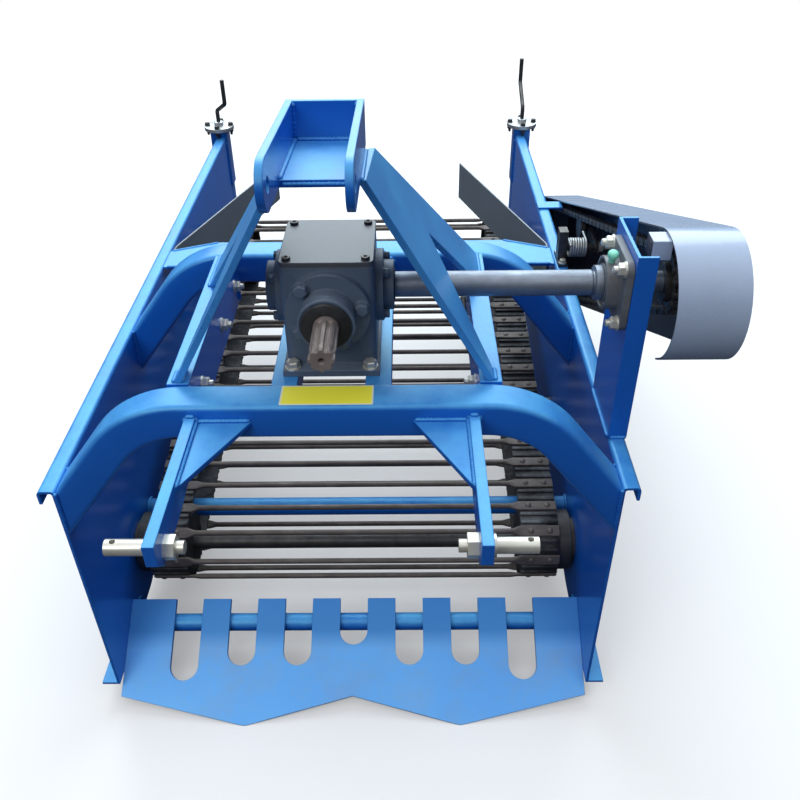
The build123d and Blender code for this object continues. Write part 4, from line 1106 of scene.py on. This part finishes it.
class LIFTER_OT_stage(bpy.types.Operator):
    """Set up the floor, the light and the camera of the photograph."""

    bl_idname = "lifter.stage"
    bl_label = "Stage"

    def execute(self, context):
        scene = context.scene
        stage = scene.lifter_stage
        self.make_floor()
        self.make_world(scene, stage)
        # Name, place, target, width, power, colour
        lamps = (
            ("sky_lamp", (0.0, 4.2, 4.4), (0.0, -0.4, 0.6), 7.0, stage.back_lamp, (0.80, 0.93, 1.0)),
            ("front_lamp", (-1.8, -3.4, 3.2), (0.0, 0.0, 0.4), 2.2, stage.front_lamp, (1.0, 0.99, 0.97)),
        )
        for name, place, target, size, power, colour in lamps:
            lamp = bpy.data.lights.new(name, "AREA")
            lamp.shape = "DISK"
            lamp.size = size
            lamp.energy = power
            lamp.color = colour
            thing = bpy.data.objects.new(name, lamp)
            scene.collection.objects.link(thing)
            way = np.array(place) - np.array(target)
            thing.matrix_world = Matrix.Translation(place) @ Matrix(facing(way)[0].tolist()).to_4x4()
        self.make_camera(scene, stage)
        scene.view_settings.view_transform = "Standard"
        return {"FINISHED"}

    def make_floor(self):
        """A wide pale floor that keeps the shadow but looks white to the camera, wholly so from 4.5 m on."""
        places = np.array([(-1, -1, 0), (1, -1, 0), (1, 1, 0), (-1, 1, 0)]) * 40.0
        mesh = bpy.data.meshes.new("floor")
        mesh.from_pydata(places.tolist(), [], [(0, 1, 2, 3)])
        floor = bpy.data.objects.new("floor", mesh)
        bpy.context.scene.collection.objects.link(floor)
        tree, shader = new_material("floor")
        seen = add(tree, "LightPath").outputs["Is Camera Ray"]
        tone = mixed_colour(tree, seen, (0.05, 0.05, 0.055), (0.80, 0.80, 0.80))
        fill(tree, shader, {"Base Color": tone, "Roughness": 0.9, "Specular IOR Level": 0.1})
        glow = add(tree, "Emission", {"Color": (1, 1, 1), "Strength": 1.0})
        away = add(tree, "VectorMath", {0: add(tree, "TexCoord").outputs["Object"]}, operation="LENGTH")
        faded = ranged(tree, away.outputs["Value"], 1.8, 4.5, 0.30, 1.0)
        share = math_of(tree, "MULTIPLY", seen, faded)
        both = add(tree, "MixShader", {0: share, 1: shader.outputs[0], 2: glow.outputs[0]})
        fill(tree, tree.nodes["Material Output"], {"Surface": both.outputs[0]})
        mesh.materials.append(finish("floor"))

    def make_world(self, scene, stage):
        """A plain sky for the light and the gloss, white for what the camera sees."""
        world = bpy.data.worlds.new("studio")
        scene.world = world
        world.use_nodes = True
        tree = world.node_tree
        lift = add(tree, "SeparateXYZ", {"Vector": add(tree, "TexCoord").outputs["Generated"]}).outputs["Z"]
        colour = mixed_colour(tree, ranged(tree, lift, 0.2, 1.0), (0.06, 0.08, 0.11), (2.0, 2.1, 2.25))
        sky = add(tree, "Background", {"Color": colour, "Strength": stage.sky})
        white = add(tree, "Background", {"Color": (1, 1, 1), "Strength": 1.0})
        both = add(tree, "MixShader", {0: seen_ray(tree), 1: sky.outputs[0], 2: white.outputs[0]})
        fill(tree, tree.nodes["World Output"], {"Surface": both.outputs[0]})

    def make_camera(self, scene, stage):
        """The camera's place and turn, fitted to points of the photograph."""
        yaw, down, roll = math.radians(-0.73), math.radians(-36.64), math.radians(-0.87)
        ahead = np.array([math.sin(yaw) * math.cos(down), math.cos(yaw) * math.cos(down), math.sin(down)])
        level = np.array([math.cos(yaw), -math.sin(yaw), 0.0])
        up = np.cross(level, ahead)
        right = math.cos(roll) * level + math.sin(roll) * up
        above = -math.sin(roll) * level + math.cos(roll) * up
        data = bpy.data.cameras.new("camera")
        data.lens = stage.lens
        data.sensor_width = 36
        camera = bpy.data.objects.new("camera", data)
        scene.collection.objects.link(camera)
        place = CAMERA * MM + OFFSET
        turn = np.column_stack([right, above, -ahead])
        camera.matrix_world = Matrix.Translation(place.tolist()) @ Matrix(turn.tolist()).to_4x4()
        scene.camera = camera


def seen_ray(tree):
    """1 for rays from the camera or through a clear surface, else 0."""
    path = add(tree, "LightPath").outputs
    return math_of(tree, "MAXIMUM", path["Is Camera Ray"], path["Is Transmission Ray"])


class LIFTER_PT_panel(bpy.types.Panel):
    """The dressing's sizes, colours and steps."""

    bl_idname = "LIFTER_PT_panel"
    bl_label = "Carrot lifter"
    bl_space_type = "VIEW_3D"
    bl_region_type = "UI"
    bl_category = "Lifter"

    def draw(self, context):
        for values in (context.scene.lifter_paint, context.scene.lifter_sizes, context.scene.lifter_stage):
            box = self.layout.box()
            for key in values.bl_rna.properties.keys():
                if key not in ("rna_type", "name"):
                    box.prop(values, key)
        for step in STEPS:
            self.layout.operator(step.bl_idname)


STEPS = (
    LIFTER_OT_paint,
    LIFTER_OT_tubes,
    LIFTER_OT_gear,
    LIFTER_OT_web,
    LIFTER_OT_drive,
    LIFTER_OT_bars,
    LIFTER_OT_fasteners,
    LIFTER_OT_welds,
    LIFTER_OT_trim,
    LIFTER_OT_stage,
)
GROUPS = {"lifter_paint": LifterPaint, "lifter_sizes": LifterSizes, "lifter_stage": LifterStage}


def register():
    """Registers the classes and hangs the values on the scene."""
    for kind in (*GROUPS.values(), *STEPS, LIFTER_PT_panel):
        bpy.utils.register_class(kind)
    for key, kind in GROUPS.items():
        setattr(bpy.types.Scene, key, PointerProperty(type=kind))


def unregister():
    """Takes the values and classes away again."""
    for key in GROUPS:
        delattr(bpy.types.Scene, key)
    for kind in (LIFTER_PT_panel, *reversed(STEPS), *GROUPS.values()):
        bpy.utils.unregister_class(kind)


def main():
    register()
    for step in STEPS:
        area, name = step.bl_idname.split(".")
        getattr(getattr(bpy.ops, area), name)()


if __name__ == "__main__":
    main()
